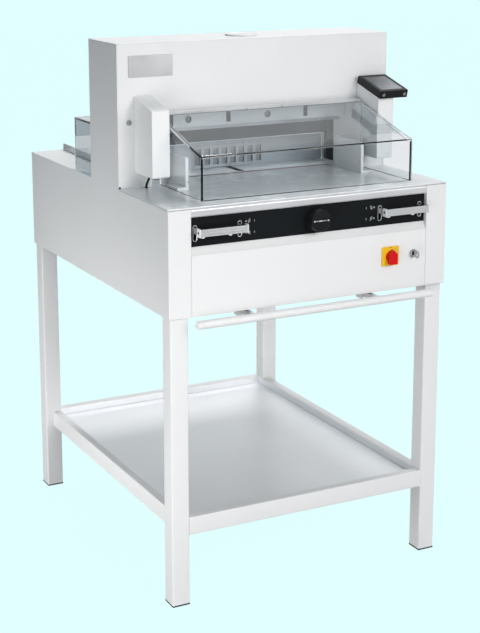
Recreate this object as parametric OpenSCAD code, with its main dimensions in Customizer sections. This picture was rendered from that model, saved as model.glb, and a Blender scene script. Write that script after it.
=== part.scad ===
// Stack paper cutter on a stand: electric guillotine with a hinged clear guard.
// Sizes are in millimetres, +Z up. The front faces -Y and the machine stands on z = 0.
// Inside the file y counts from the front face of the housing; in_row() then moves
// every piece so that the row's origin is the middle of the footprint.

/* [Overall] */
// Width over the side panels
machine_w = 757; // [735:1:780]
// Depth of the housing, front face to rear face
housing_d = 905; // [895:1:940]
// Height of the table surface above the floor
table_h = 970; // [930:1:1010]
// Height of the housing below the table surface
housing_h = 257; // [257:1:280]
// Height of the tower above the table surface
tower_h = 348; // [346:1:370]
// Distance from the housing front to the tower front
tower_y = 284; // [275:1:295]
// Depth of the tower
tower_d = 178; // [176:1:190]
// Thickness of the sheet-metal panels
sheet = 2; // [1.5:0.5:2.5]
// Thickness of the table plates
plate_t = 4; // [3:0.5:5]
// Seam between panels that lie side by side
seam = 0.5; // [0.3:0.1:0.8]
// Clearance between pieces that pass each other
gap = 0.3; // [0.3:0.1:0.5]
// Radial running clearance of pins and shafts
run = 0.05; // [0.02:0.01:0.08]

// Clearance beside arms, rods and lugs
side_gap = 1; // [0.5:0.5:1.5]
// Length by which the solids of one piece run into each other, and cuts run past a face
lap = 1; // [1:0.5:2]

/* [Stand] */
// Width of a square leg
leg_w = 45; // [38:1:50]
// Wall of a leg tube
leg_wall = 3; // [2:0.5:4]
// How far the legs stand in from the side panels
leg_inset = 5.5; // [2:0.5:12]
// How far the front legs stand back from the housing front
leg_back = 6; // [3:1:14]
// Thickness of the pad under a leg
foot_t = 4; // [3:1:8]
// Height of the plug of a pad inside its leg
foot_plug_h = 16; // [10:1:25]
// Height of the underside of the shelf rails
shelf_z = 177; // [140:1:260]
// Height of a shelf rail
rail_h = 44; // [36:1:52]
// Width of a shelf rail
rail_w = 22; // [18:1:28]
// Wall of a shelf rail
rail_wall = 2; // [1.5:0.5:3]
// How far the tray floor lies below the rail tops
tray_drop = 20; // [12:1:26]
// Thickness of the tray sheet
tray_t = 2; // [1.5:0.5:3]

/* [Housing] */
// Thickness of the bottom plate
base_t = 6; // [5:1:10]
// Width of the front flange of a side panel
flange_w = 57.5; // [50:0.5:60]
// Height of the table lip
lip_h = 20; // [16:1:24]
// Depth of the table lip
lip_d = 14; // [14:1:18]
// Rounding of the lip's front edges
lip_r = 5; // [3:0.5:7]
// How far the control strip lies behind the front face
recess = 11; // [9:0.5:11]
// Thickness of the control strip
fascia_t = 3; // [2:0.5:3]
// Height of the control strip
fascia_h = 70; // [66:1:80]
// Rise of the sloped sill under the control strip
sill_h = 19; // [12:1:24]
// Thickness of the bed under the table
bed_t = 20; // [16:1:24]
// Width of the bed's rear rails
bed_rail_w = 30; // [20:1:40]
// Distance of the bed's rear rails from the rear table's sides
bed_rail_in = 118; // [100:1:130]
// How much narrower the rear table is than the throat, on each side
deck_step = 3; // [2:0.5:6]
// Distance of the rims from the tower and from the rear edge
rim_end = 5; // [3:1:10]
// Height of the rims along the rear table
rim_h = 18; // [12:1:24]
// Thickness of the rims
rim_t = 4; // [3:0.5:6]
// Width of the cutting stick
stick_w = 10; // [8:0.5:12]
// Distance of the cutting stick's ends from the throat's sides
stick_in = 36; // [20:1:40]
// Width of the slot in the rear table
slot_w = 18; // [16:1:22]
// Distance of that slot from the cutting stick
slot_lead = 9; // [6:1:12]
// Width of a vent in the rear panel
vent_w = 60; // [40:1:80]
// Height of a vent
vent_h = 5; // [4:0.5:7]
// Pitch of the vents
vent_pitch = 14; // [12:1:18]
// Vents in a column
vent_count = 6; // [3:1:8]
// Height of the vents' middle above the bottom
vent_z = 150; // [120:1:170]

/* [Tower] */
// Width of an upright of the tower, beside the throat
upright_w = 88.5; // [86:0.5:94]
// Height of the front cover's lower edge above the table
cover_h = 181; // [172:1:184]
// Height of the folds above the front cover's lower edge
lining_rise = 3; // [3:1:6]
// Depth of the folds that line the throat
lining_d = 116; // [90:1:130]
// Height of the rear cover's lower edge above the table
rear_open_h = 150; // [145:1:170]
// Space between the front cover and the columns
frame_back = 8; // [6:1:10]
// Thickness of a column's outer wall
column_t = 12; // [8:1:14]
// Thickness of a column's front and rear webs
web_t = 10; // [8:1:12]
// Space between the throat lining and the columns
column_gap = 4; // [3:1:8]
// Thickness of the front crosshead beam
head_front_t = 28; // [20:1:30]
// Thickness of the rear crosshead beam
head_rear_t = 26; // [20:1:36]
// Height of the crosshead beams above the covers' lower edges
head_rise = 12; // [10:1:15]
// Space between the crosshead and the top cover
head_top_gap = 16; // [10:1:20]
// Diameter of the round cap on the top
cap_d = 83; // [70:1:95]
// Height of the cap
cap_h = 4; // [3:0.5:8]
// Diameter of the cap's plug
cap_plug_d = 60; // [50:1:66]
// Width of the badge plate
badge_w = 116; // [100:1:130]
// Height of the badge plate
badge_h = 52; // [40:1:60]
// Thickness of the badge plate
badge_t = 1.2; // [0.8:0.1:2]
// Distance of the badge plate from the side of the machine
badge_in = 29.5; // [15:0.5:40]
// Distance of the badge plate from the top of the tower
badge_down = 29; // [20:1:40]
// Diameter of a cover screw's head
screw_d = 13; // [10:0.5:14]
// Height of a cover screw's head
screw_h = 4; // [3:0.5:6]
// Distance of a cover screw from the side of the machine
screw_in = 29; // [20:0.5:32]
// Height of a cover screw above the table
screw_up = 159; // [140:1:165]

/* [Knife] */
// How far behind the tower front the knife carrier lies
carrier_back = 52; // [50:1:54]
// Thickness of the knife carrier
carrier_t = 14; // [12:0.5:16]
// Clearance of the knife carrier to the throat's sides at the ends of its swing
carrier_side = 3; // [2:0.5:6]
// Space between the knife carrier and the top cover
carrier_top_gap = 4; // [3:0.5:6]
// How far the blade's edge lies below the carrier
blade_out = 12; // [8:1:14]
// Height of the knife edge above the table at the end of the cut
cut_gap = 0.5; // [0.3:0.1:1]
// Thickness of the blade
blade_t = 8; // [7:0.5:9]
// Height of the blade
blade_h = 60; // [56:1:60]
// Thickness of the blade's ground edge
edge_t = 0.5; // [0.3:0.1:0.8]
// How far the blade ends short of the carrier
blade_short = 4; // [2:1:8]
// Height of the blade's bevel
bevel_h = 22; // [15:1:28]
// Slant of the knife's stroke, in degrees
stroke_a = 18.95; // [12:0.05:20]
// Width of a guide block
block_w = 24; // [20:1:28]
// Length of a guide block
block_l = 26; // [22:1:28]
// Height of the guide slots' lower ends above the front cover's lower edge
block_up = 0.4; // [0.2:0.1:6]
// Metal above the guide slots
slot_wall = 12.95; // [10:0.05:16]
// Distance of the guide blocks from the carrier's ends
block_in = 93; // [85:1:110]
// Distance of the outer round pocket from the carrier's end
pocket_in = 41; // [30:1:48]
// Diameter of a round pocket
pocket_d = 18; // [17:0.5:20]
// Height of the pockets above the carrier's lower edge
pocket_up = 19; // [15:1:24]
// Width of a slot between the pockets
slit_w = 12; // [9:0.5:14]
// Height of a slot between the pockets
slit_h = 26; // [20:1:30]
// Diameter of a knife bolt's head
bolt_d = 15; // [12:0.5:16]
// Height of a knife bolt's head
bolt_h = 9; // [7:0.5:11]
// Height of the arm that the pull rod hangs on
arm_h = 36; // [30:1:40]
// Distance of the pull rod's upper pin from the throat's side
pull_out = 19; // [17:1:20]
// Distance between the pull rod's two eyes
pull_l = 260; // [250:1:270]
// Thickness of the pull rod
pull_t = 10; // [8:0.5:12]
// Radius of the pull rod's eyes
eye_r = 13; // [11:0.5:13]
// Radius of the pull rod's pins
pull_pin_r = 6; // [5:0.5:7]
// Clearance of the pull rod's open lower eye
open_gap = 1.3; // [1.2:0.1:1.8]
// Thickness of the piston rod's fork cheeks
fork_t = 7; // [5:0.5:8]
// Height of the fork
fork_h = 40; // [36:1:44]
// Depth of the fork below its pin
fork_drop = 20; // [18:1:22]
// Thickness of the pistons
piston_t = 12; // [10:1:14]
// Thickness of the cylinders' gland ends
gland_t = 8; // [6:1:10]
// Radius of the knife cylinder
knife_cyl_r = 25; // [22:0.5:25]
// Wall of the cylinders
cyl_wall = 5; // [4:0.5:6]
// Radius of the knife piston rod
knife_rod_r = 10; // [8:0.5:12]

/* [Clamp] */
// How far the clamp lies behind the blade
clamp_back = 3; // [2:0.5:4]
// Thickness of the clamp beam
clamp_t = 24; // [20:1:26]
// Distance of the clamp beam's ends from the throat's sides
clamp_in = 42; // [38:1:50]
// Height of the clamp's underside above the table at rest
clamp_up = 83; // [83:1:90]
// Travel of the clamp
clamp_travel = 81; // [70:1:81]
// Height of the clamp's arms
clamp_arm_h = 45; // [36:1:50]
// Space between the clamp's top and the tower top
clamp_top_gap = 33; // [30:1:36]
// Radius of the tie rods
tie_r = 9; // [7:0.5:11]
// Metal round the tie rods in arms and yoke
tie_edge = 6; // [4:1:8]
// Height of the yoke under the table
yoke_h = 25; // [20:1:28]
// Space between the yoke and the bed
yoke_gap = 6; // [4:1:8]
// Radius of the clamp cylinder
clamp_cyl_r = 36; // [32:1:42]
// Radius of the clamp piston rod
clamp_rod_r = 12; // [10:1:14]

/* [Hydraulics] */
// Width of the tank
tank_w = 230; // [200:1:240]
// Depth of the tank
tank_d = 240; // [200:1:260]
// Distance of the tank from the side panel
tank_in = 46.5; // [30:0.5:60]
// Space between the pump motor and the bed
motor_gap = 16; // [10:1:24]
// Distance of the tank behind the tower
tank_back = 20; // [10:1:30]
// Width of the pump motor's feet
motor_foot_w = 20; // [16:1:26]
// Radius of the pump motor
motor_r = 52; // [44:1:54]
// Length of the pump motor
motor_l = 190; // [160:1:210]

/* [Backgauge] */
// Distance of the fence face from the knife at rest
fence_rest = 87; // [80:1:95]
// Nearest distance of the fence face to the knife
fence_near = 35; // [35:1:40]
// Space between the spindle's end and the rear panel
spindle_room = 7; // [5:1:20]
// Distance of the fence's ends from the throat's sides
fence_in = 10; // [8:1:20]
// Height of the fence
fence_h = 66; // [60:1:74]
// Clearance between the fence and the table
fence_gap = 1; // [0.5:0.5:2]
// Thickness of the fence
fence_t = 10; // [8:0.5:12]
// Pitch of the comb windows
window_pitch = 25; // [22:0.5:27]
// Width of a comb window
window_w = 16; // [12:0.5:18]
// Height of a comb window
window_h = 42; // [34:1:46]
// Height of the comb windows above the fence's lower edge
window_up = 8; // [6:1:12]
// Comb windows
window_count = 8; // [4:1:10]
// Width of the carriage block under the table
nut_w = 150; // [140:1:160]
// Depth of the carriage block
nut_d = 40; // [34:1:40]
// Height of the carriage block
nut_h = 34; // [30:1:36]
// Width of the plate that holds the fence
foot_plate_w = 120; // [100:1:140]
// How far that plate ends below the fence's top
foot_plate_drop = 12; // [8:1:20]
// Clearance of the carriage's neck in the table slot
neck_gap = 2; // [1.5:0.5:3]
// Height of the carriage's neck above the table
neck_up = 21; // [16:1:26]
// Depth of the spindle below the table surface
spindle_down = 43; // [42:1:46]
// Radius of the spindle
spindle_r = 9; // [7:0.5:10]
// How much thinner the spindle is at its bearings
journal_step = 2; // [1.5:0.5:3]
// Radius of the guide rods
guide_r = 8; // [6:0.5:9]
// Distance of the guide rods from the spindle
guide_x = 55; // [45:1:58]
// Thickness of a bearing block
bearing_t = 12; // [10:1:12]
// Radius of the toothed pulleys
pulley_r = 18; // [15:0.5:20]
// Width of the toothed belt
belt_w = 10; // [8:0.5:10]
// Thickness of the pulley's flange
pulley_flange_t = 2; // [1.5:0.5:3]
// Distance of the belt behind the bearing block
belt_back = 5; // [4:0.5:5]
// Thickness of the belt
belt_t = 2.5; // [2:0.5:3]
// Distance between spindle and motor shaft
belt_drop = 77; // [72:1:82]
// Radius of the backgauge motor
gauge_motor_r = 29; // [24:1:30]
// Length of the backgauge motor
gauge_motor_l = 78; // [60:1:90]
// Radius of the motor shaft
gauge_shaft_r = 5; // [4:0.5:6]

/* [Guard] */
// Width of a hinge box
box_w = 45; // [42:1:50]
// Depth of a hinge box
box_d = 104; // [98:1:112]
// Height of a hinge box's underside above the table
box_up = 38; // [32:1:45]
// Height of a hinge box's rear top edge above the table
box_top = 223; // [215:1:230]
// Height of the left box's front top edge above the table
box_front_left = 197; // [190:1:200]
// Height of the right box's front top edge above the table
box_front_right = 195; // [188:1:198]
// Wall of a hinge box
box_wall = 3; // [2:0.5:4]
// Rounding of a hinge box's rear foot
box_r = 10; // [6:0.5:12]
// Rounding of a hinge box's front edges
box_front_r = 4; // [3.5:0.5:8]
// Thickness of the clear guard
pane_t = 5; // [4:0.5:6]
// Clearance between the guard's sides and the hinge boxes
pane_side_gap = 4.5; // [4:0.5:6]
// Distance of the guard's front from the housing front
pane_front = 17; // [12:1:45]
// Height of the guard's lower edge above the table
pane_foot = 8; // [4:0.5:10]
// Height of the front pane's upper edge above the table
pane_knee_up = 111; // [100:1:115]
// Distance from the front pane to the bend in the top
bend_back = 62; // [50:1:75]
// Height of the bend above the table
bend_up = 127; // [122:1:135]
// Distance of the guard's axis in front of the tower
axis_front = 18; // [16:0.5:20]
// Height of the guard's axis above the table
axis_up = 177.5; // [172:0.5:180]
// Depth of the guard rail
rail_d = 20; // [16:1:22]
// Height of the guard rail
rail_t = 12; // [12:1:16]
// Radius of the guard's pivot pins
guard_pin_r = 5; // [4:0.5:6]
// Distance of the guard's rear side edge in front of the tower
pane_rear = 36; // [32:1:50]
// Radius of the short guard cable
cable_r = 3; // [2.5:0.5:4]
// Thickness of a side lay
lay_t = 8; // [6:0.5:9]
// Distance of the left side lay from the throat's side
lay_in_left = 61; // [40:1:64]
// Distance of the right side lay from the throat's side
lay_in_right = 37; // [34:1:46]
// Height of a side lay
lay_h = 78; // [60:1:85]
// Distance of a side lay from the housing front
lay_y = 200; // [180:1:220]
// Space between a side lay and the knife carrier
lay_gap = 6; // [4:1:10]
// Width of a side lay's foot
lay_foot_w = 22; // [16:1:24]
// Length of a side lay's foot
lay_foot_l = 60; // [50:1:100]
// Thickness of a side lay's foot
lay_foot_t = 6; // [4:0.5:8]
// Depth of the clear cover behind the tower
cover_back_d = 138; // [120:1:150]
// Height of the clear cover behind the tower
cover_back_h = 135; // [120:1:140]
// Distance of the clear rear cover from the machine's side
cover_back_in = 12; // [8:1:16]
// Height of the clear rear cover's back lip
cover_back_lip = 50; // [40:1:55]

/* [Display] */
// Width of the display
display_w = 82; // [70:1:84]
// Length of the display
display_l = 112; // [100:1:114]
// Thickness of the display
display_t = 20; // [14:1:22]
// Distance of the display's rear edge down the slope
display_off = 7; // [6.5:0.5:9]
// Clearance between the display and the guard's side
display_side = 1; // [1:0.5:4]
// Border around the screen
screen_border = 9; // [7:0.5:12]
// Border behind the screen and in front of it
screen_end = 12; // [10:1:20]
// Depth of the screen's pocket
screen_t = 1.5; // [1:0.5:2]
// Diameter of the display's front screws
display_screw_d = 9; // [7:0.5:10]
// Distance of the display's front screws from its sides
display_screw_in = 10; // [9:0.5:14]

/* [Controls] */
// Distance of the control dial from the middle of the machine
dial_x = 10.5; // [0:0.5:20]
// Radius of the control dial at its foot
dial_r = 28.5; // [27:0.5:31]
// Radius of the control dial at its face
dial_face_r = 25.5; // [24:0.5:26.5]
// Length of the control dial
dial_l = 30; // [24:1:32]
// Rounding of the dial's front edge
dial_round = 2; // [2:0.5:3]
// Radius of the dial's shaft
dial_shaft_r = 5; // [4:0.5:6]
// Half width of the control unit
unit_x = 110; // [90:1:140]
// Depth of the control unit
unit_d = 50; // [40:1:55]
// Space above and below the control unit
unit_margin = 5; // [4:1:8]
// Distance of a two-hand bar's middle from the end of the control strip
bar_in = 71.5; // [69:0.5:75]
// Length of a two-hand bar
bar_l = 120; // [118:1:124]
// Height of a two-hand bar
bar_h = 17; // [14:1:20]
// Depth of a two-hand bar
bar_d = 16; // [12:1:18]
// Distance of a two-hand bar's face in front of the housing
bar_out = 25; // [22:1:27]
// Height of a two-hand bar's middle above the strip's lower edge
bar_up = 37.5; // [36:0.5:40]
// Distance between the arms of a two-hand bar
bar_arm_pitch = 115; // [110:1:115]
// Thickness of an arm
bar_arm_t = 5; // [4:0.5:6]
// Depth of the lugs that carry the shafts
lug_d = 24; // [20:1:30]
// Height of an arm
bar_arm_h = 14; // [12:1:14]
// Distance of the two-hand bars' shafts from the housing front
bar_pivot_y = 75; // [70:1:85]
// Radius of the two-hand bars' shafts
bar_shaft_r = 6; // [5:0.5:7]
// Thickness of the lugs that carry the shafts
lug_t = 6; // [5:0.5:6]
// Height of the slots in the control strip
strip_slot_h = 36; // [36:1:40]
// Width of the slots in the control strip
strip_slot_w = 9; // [9:0.5:10]
// Height of the slots' lower ends above the strip's lower edge
strip_slot_up = 13; // [10:1:14]
// Distance of the main switch from the side of the front panel
switch_in = 104.5; // [95:0.5:130]
// Height of the main switch above the housing's underside
switch_up = 87; // [80:1:95]
// Width of the main switch plate
switch_w = 48; // [44:1:52]
// Thickness of the main switch plate
switch_t = 4; // [3:0.5:5]
// Radius of the main switch's neck in the front panel
switch_neck_r = 14; // [12:0.5:16]
// Depth of the main switch's body
switch_d = 42; // [36:1:50]
// Radius of the switch handle's disc
handle_r = 15; // [13:0.5:18]
// Thickness of the switch handle's disc
handle_disc_t = 6; // [4:0.5:8]
// Length of the switch handle's grip
handle_l = 40; // [36:1:42]
// Width of the switch handle's grip
handle_w = 24; // [18:0.5:26]
// Distance that the switch handle stands out
handle_out = 20; // [16:1:24]
// Radius of the switch handle's shaft
handle_shaft_r = 5; // [4:0.5:6]
// Distance of the key lock from the side of the front panel
lock_in = 37.5; // [30:0.5:50]
// Radius of the key lock's barrel
lock_r = 8.5; // [7.5:0.5:9]
// Radius of the key lock's collar
lock_collar_r = 10.5; // [9.5:0.5:12]
// Thickness of the key lock's collar
lock_collar_t = 4; // [3:0.5:5]
// Depth of the key lock
lock_d = 28; // [22:1:34]
// Radius of the lock's turning plug
plug_r = 5; // [4:0.5:6]
// Thickness of the key
key_t = 2.2; // [2:0.2:3]
// Height of the key's shank
key_h = 8; // [6:0.5:9]
// Distance from the lock to the key's bow
key_neck = 4; // [3:0.5:6]
// Radius of the key's bow
key_bow_r = 10; // [8:0.5:11]
// Radius of the bar under the housing
knee_r = 10; // [8:0.5:11]
// Distance of the bar's middle in front of the housing
knee_out = 28; // [24:1:32]
// Distance of the bar's middle below the housing
knee_down = 12; // [11:0.5:14]
// Distance of the bar's arms from its ends
knee_arm_in = 151; // [100:1:180]
// Thickness of the bar's arms
knee_arm_t = 10; // [8:0.5:12]
// Height of the bar's arms
knee_arm_h = 14; // [10:1:14]
// Distance of the bar's pivots from the housing front
knee_pivot_y = 45; // [35:1:60]
// Radius of the bar's pivot pins
knee_pin_r = 5; // [4:0.5:6]
// Thickness of the lugs of the bar under the housing
knee_lug_t = 8; // [6:1:10]
// Width of the mains inlet
inlet_w = 50; // [44:1:56]
// Height of the mains inlet
inlet_h = 30; // [26:1:34]
// Depth of the mains inlet
inlet_d = 26; // [22:1:32]
// Distance of the mains inlet from the side panel
inlet_in = 126.5; // [100:0.5:180]
// Wall of the mains inlet
inlet_wall = 4; // [3:0.5:5]
// Pitch of the inlet's contact pins
inlet_pitch = 14; // [11:0.5:15]
// Height of a contact pin
inlet_pin_h = 6; // [4:0.5:7]
// Width of a contact pin
inlet_pin_w = 2; // [1.5:0.5:3]
// Height of the mains inlet above the housing's underside
inlet_up = 60; // [50:1:70]

/* [Hidden] */
$fn = 48;
half_w = machine_w / 2;
in_w = half_w - sheet;
base_z = table_h - housing_h;
base_top = base_z + base_t;
deck_z = table_h - plate_t;
bed_z = deck_z - bed_t;
tower_z = table_h + tower_h;
top_z = tower_z - sheet;
tower_back = tower_y + tower_d;
throat_x = half_w - upright_w;
cover_z = table_h + cover_h;
flange_x = half_w - flange_w;
strip_x = flange_x - seam;
lip_z = deck_z - lip_h;
strip_z = lip_z - fascia_h;
sill_z = strip_z - sill_h;
strip_back = recess + fascia_t;
deck_x = throat_x - deck_step;
bed_rail_x = deck_x - bed_rail_in;
stick_l = 2 * (throat_x - stick_in);

// The row's origin is under the middle of the footprint, front bar included.
front_reach = knee_out + knee_r;
row_y = (front_reach - housing_d) / 2;

// Legs and shelf
leg_x = half_w - leg_inset - leg_w / 2;
leg_in_x = leg_x - leg_w / 2;
leg_ys = [leg_back + leg_w / 2, housing_d - leg_w / 2];
tray_z = shelf_z + rail_h - tray_drop;

// Tower frame and knife plane
frame_y = tower_y + frame_back;
frame_back_y = tower_back - sheet - frame_back / 2;
column_x = throat_x + sheet + column_gap;
column_in = in_w - column_t;
head_z = cover_z + head_rise;
head_top = tower_z - head_top_gap;
head_rear_z = table_h + rear_open_h + head_rise;
carrier_y = tower_y + carrier_back;
blade_y = carrier_y + carrier_t;
cut_y = blade_y + blade_t;
clamp_y = cut_y + clamp_back;
clamp_back_y = clamp_y + clamp_t;
clamp_mid_y = clamp_y + clamp_t / 2;
stick_y = cut_y - stick_w / 2;
bed_back = clamp_mid_y;

// The knife's slanted stroke is what the guide slots leave room for in the tower.
carrier_top = top_z - carrier_top_gap;
slot_w_all = block_w + 2 * gap;
slot_l_end = block_l + 2 * gap;
slot_end_h = slot_l_end * cos(stroke_a) + slot_w_all * sin(stroke_a);
drop = carrier_top - slot_wall - slot_end_h - cover_z - block_up;
swing = drop * tan(stroke_a);
stroke_l = drop / cos(stroke_a);
carrier_x = swing;
carrier_l = 2 * (throat_x - swing - carrier_side);
block_pitch = carrier_l - 2 * block_in;
pocket_pitch = (carrier_l / 2 - carrier_x - pocket_in) / 1.5;
pocket_xs = [-1.5 * pocket_pitch, 0.5 * pocket_pitch];
slit_xs = [-0.5 * pocket_pitch, 1.5 * pocket_pitch];
edge_z = table_h + drop + cut_gap;
carrier_z = edge_z + blade_out;
pocket_z = carrier_z + pocket_up;
block_z = cover_z + block_up + slot_end_h / 2;
block_y = frame_y + head_front_t;
arm_z = carrier_top - arm_h;
pull_x = -(throat_x + pull_out);
pull_z = carrier_top - arm_h / 2;
pull_low_x = pull_x - swing / 2;
pull_low_z = pull_z - sqrt(pull_l * pull_l - swing * swing / 4);
pull_y = carrier_y - side_gap - pull_t;
pull_mid_y = pull_y + pull_t / 2;
knife_cyl_top = pull_low_z - drop - fork_drop - side_gap;

// Clamp
clamp_z = table_h + clamp_up;
clamp_top = tower_z - clamp_top_gap;
clamp_l = 2 * (throat_x - clamp_in);
tie_x = (column_x + column_in) / 2;
yoke_top = bed_z - yoke_gap;
yoke_z = yoke_top - yoke_h;
clamp_cyl_top = yoke_z - clamp_travel - side_gap;
tie_reach = tie_x + tie_r + tie_edge;

// Hydraulics
tank_h = bed_z - base_top - 2 * motor_r + lap - motor_gap;
tank_x = in_w - tank_in - tank_w / 2;

// Backgauge: the fence runs back until the belt end comes near the rear panel.
fence_l = 2 * (throat_x - fence_in);
spindle_tail = bearing_t + belt_back + belt_w + lap;
fence_far = housing_d - sheet - spindle_room - spindle_tail - 2 * side_gap - nut_d - fence_t - cut_y;
fence_y = cut_y + fence_rest;
fence_z = table_h + fence_gap;
spindle_z = table_h - spindle_down;
nut_y = fence_y + fence_t;
front_bearing_y = nut_y - (fence_rest - fence_near) - side_gap - bearing_t;
rear_bearing_y = nut_y + nut_d + (fence_far - fence_rest) + 2 * side_gap;
motor_z = spindle_z - belt_drop;
belt_y = rear_bearing_y + bearing_t + belt_back;
journal_r = spindle_r - journal_step;
table_slot_y = stick_y + stick_w + slot_lead;
neck_w = slot_w - 2 * neck_gap;

// Guard
axis_y = tower_y - axis_front;
axis_z = table_h + axis_up;
pane_x = throat_x - pane_side_gap;
pane_z = table_h + pane_foot;
knee_z = table_h + pane_knee_up;
pane_path = [
    [axis_y - rail_d / 2, axis_z],
    [pane_front + bend_back, table_h + bend_up],
    [pane_front, knee_z],
    [pane_front, pane_z]
];
box_front_y = tower_y - box_d;
lay_xs = [throat_x - lay_in_right, throat_x - lay_in_left];
display_x = pane_x + display_side;
display_tilt = atan((box_top - box_front_right) / box_d);

// Controls
bar_x = strip_x - bar_in;
switch_x = strip_x - switch_in;
lock_x = strip_x - lock_in;
inlet_x = in_w - inlet_in;
dial_z = strip_z + fascia_h / 2;
bar_z = strip_z + bar_up;
bar_arm_xs = [-bar_arm_pitch / 2, bar_arm_pitch / 2];
bar_shaft_l = bar_arm_pitch + bar_arm_t + 2 * (lug_t + side_gap);
switch_z = base_z + switch_up;
knee_z_mid = base_z - knee_down;
knee_pin_l = knee_arm_t + 2 * (knee_lug_t + side_gap);
knee_l = 2 * flange_x;
knee_arm_x = knee_l / 2 - knee_arm_in;

// Moves a piece from the machine's own y to the row's frame.
module in_row() {
    translate([0, row_y, 0]) children();
}

// A block between two x, two y and two z values.
module block(xs, ys, zs) {
    translate([xs[0], ys[0], zs[0]]) cube([xs[1] - xs[0], ys[1] - ys[0], zs[1] - zs[0]]);
}

// A round rod along x, y or z between two values of that axis.
module rod_x(r, xs, y, z) {
    translate([xs[0], y, z]) rotate([0, 90, 0]) cylinder(r = r, h = xs[1] - xs[0]);
}

module rod_y(r, x, ys, z) {
    translate([x, ys[1], z]) rotate([90, 0, 0]) cylinder(r = r, h = ys[1] - ys[0]);
}

module rod_z(r, x, y, zs) {
    translate([x, y, zs[0]]) cylinder(r = r, h = zs[1] - zs[0]);
}

// An outline of [y, z] points drawn out along x.
module prism_x(points, xs) {
    translate([xs[0], 0, 0]) rotate([90, 0, 90]) linear_extrude(xs[1] - xs[0]) polygon(points);
}

// A tilted block of the knife's guides, drawn about a point of the x-z plane.
module slanted(x, z, w, from, to, ys) {
    translate([x, 0, z]) rotate([0, stroke_a, 0]) block([-w / 2, w / 2], ys, [from, to]);
}

// Points of an arc about a centre.
function arc(c, r, a0, a1, n) = [
    for (i = [0:n])
        let (a = a0 + (a1 - a0) * i / n)
        c + r * [cos(a), sin(a)]
];

function unit(v) = v / norm(v);
function left_of(v) = [-v[1], v[0]];

// A path moved sideways by d, with mitred corners.
function shifted(path, d) = [
    for (i = [0:len(path) - 1])
        let (a = i == 0 ? path[1] - path[0] : path[i] - path[i - 1])
        let (b = i == len(path) - 1 ? a : path[i + 1] - path[i])
        let (n = left_of(unit(a)), m = left_of(unit(b)))
        path[i] + d * (n + m) / (1 + n * m)
];

// The point with a given first coordinate on the line through p and q.
function at_y(p, q, y) = p + (q - p) * (y - p[0]) / (q[0] - p[0]);

function reversed(list) = [for (i = [len(list) - 1:-1:0]) list[i]];

module stand_legs() {
    in_row() color("whitesmoke")
        for (x = [-leg_x, leg_x], y = leg_ys)
            difference() {
                block([x - leg_w / 2, x + leg_w / 2], [y - leg_w / 2, y + leg_w / 2], [foot_t, base_z]);
                block([x - leg_w / 2 + leg_wall, x + leg_w / 2 - leg_wall],
                    [y - leg_w / 2 + leg_wall, y + leg_w / 2 - leg_wall], [0, base_z - leg_wall]);
            }
}

module foot_pads() {
    plug = leg_w / 2 - leg_wall - gap;
    in_row() color("black")
        for (x = [-leg_x, leg_x], y = leg_ys) {
            block([x - leg_w / 2, x + leg_w / 2], [y - leg_w / 2, y + leg_w / 2], [0, foot_t]);
            block([x - plug, x + plug], [y - plug, y + plug], [0, foot_t + foot_plug_h]);
        }
}

// A hollow rail of the shelf.
module shelf_rail(xs, ys, along_x) {
    end = along_x ? [1, 0] : [0, 1];
    inx = rail_wall * end[1];
    iny = rail_wall * end[0];
    difference() {
        block(xs, ys, [shelf_z, shelf_z + rail_h]);
        block([xs[0] + inx - lap * end[0], xs[1] - inx + lap * end[0]],
            [ys[0] + iny - lap * end[1], ys[1] - iny + lap * end[1]],
            [shelf_z + rail_wall, shelf_z + rail_h - rail_wall]);
    }
}

module shelf_rails() {
    in_row() color("whitesmoke") {
        shelf_rail([-leg_in_x, leg_in_x], [leg_back, leg_back + rail_w], true);
        shelf_rail([-leg_in_x, leg_in_x], [housing_d - rail_w, housing_d], true);
        for (x = [-leg_in_x - rail_w, leg_in_x])
            shelf_rail([x, x + rail_w], [leg_back + leg_w, housing_d - leg_w], false);
    }
}

module shelf_tray() {
    y0 = leg_back + rail_w;
    y1 = housing_d - rail_w;
    in_row() color("silver")
        difference() {
            block([-leg_in_x, leg_in_x], [y0, y1], [tray_z - tray_t, shelf_z + rail_h - rail_wall]);
            block([-leg_in_x + tray_t, leg_in_x - tray_t], [y0 + tray_t, y1 - tray_t], [tray_z, table_h]);
        }
}

module base_plate() {
    in_row() color("dimgray") {
        block([-in_w, in_w], [sheet, housing_d - sheet], [base_z, base_top]);
        for (x = [-knee_arm_x, knee_arm_x], s = [-1, 1])
            let (lug_x = x + s * (knee_arm_t / 2 + side_gap + knee_lug_t / 2))
            difference() {
                block([lug_x - knee_lug_t / 2, lug_x + knee_lug_t / 2],
                    [knee_pivot_y - lug_d / 2, knee_pivot_y + lug_d / 2], [knee_z_mid - knee_r, base_z]);
                rod_x(knee_pin_r + run, [lug_x - knee_lug_t, lug_x + knee_lug_t], knee_pivot_y, knee_z_mid);
            }
    }
}

// Left side panel: one sheet with the tower, folded at the front and over the rear deck.
module side_panel() {
    outline = [
        [0, base_z], [housing_d, base_z], [housing_d, deck_z], [tower_back, deck_z],
        [tower_back, top_z], [tower_y, top_z], [tower_y, deck_z], [0, deck_z]
    ];
    prism_x(outline, [-half_w, -in_w]);
    block([-half_w, -flange_x], [0, sheet], [base_z, deck_z]);
    block([-flange_x - sheet, -flange_x], [0, strip_back], [sill_z, deck_z]);
    block([-half_w, -deck_x], [tower_back, housing_d], [deck_z, table_h]);
}

module side_panel_left() {
    in_row() color("whitesmoke") side_panel();
}

module side_panel_right() {
    in_row() color("whitesmoke") mirror([1, 0, 0]) side_panel();
}

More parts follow.
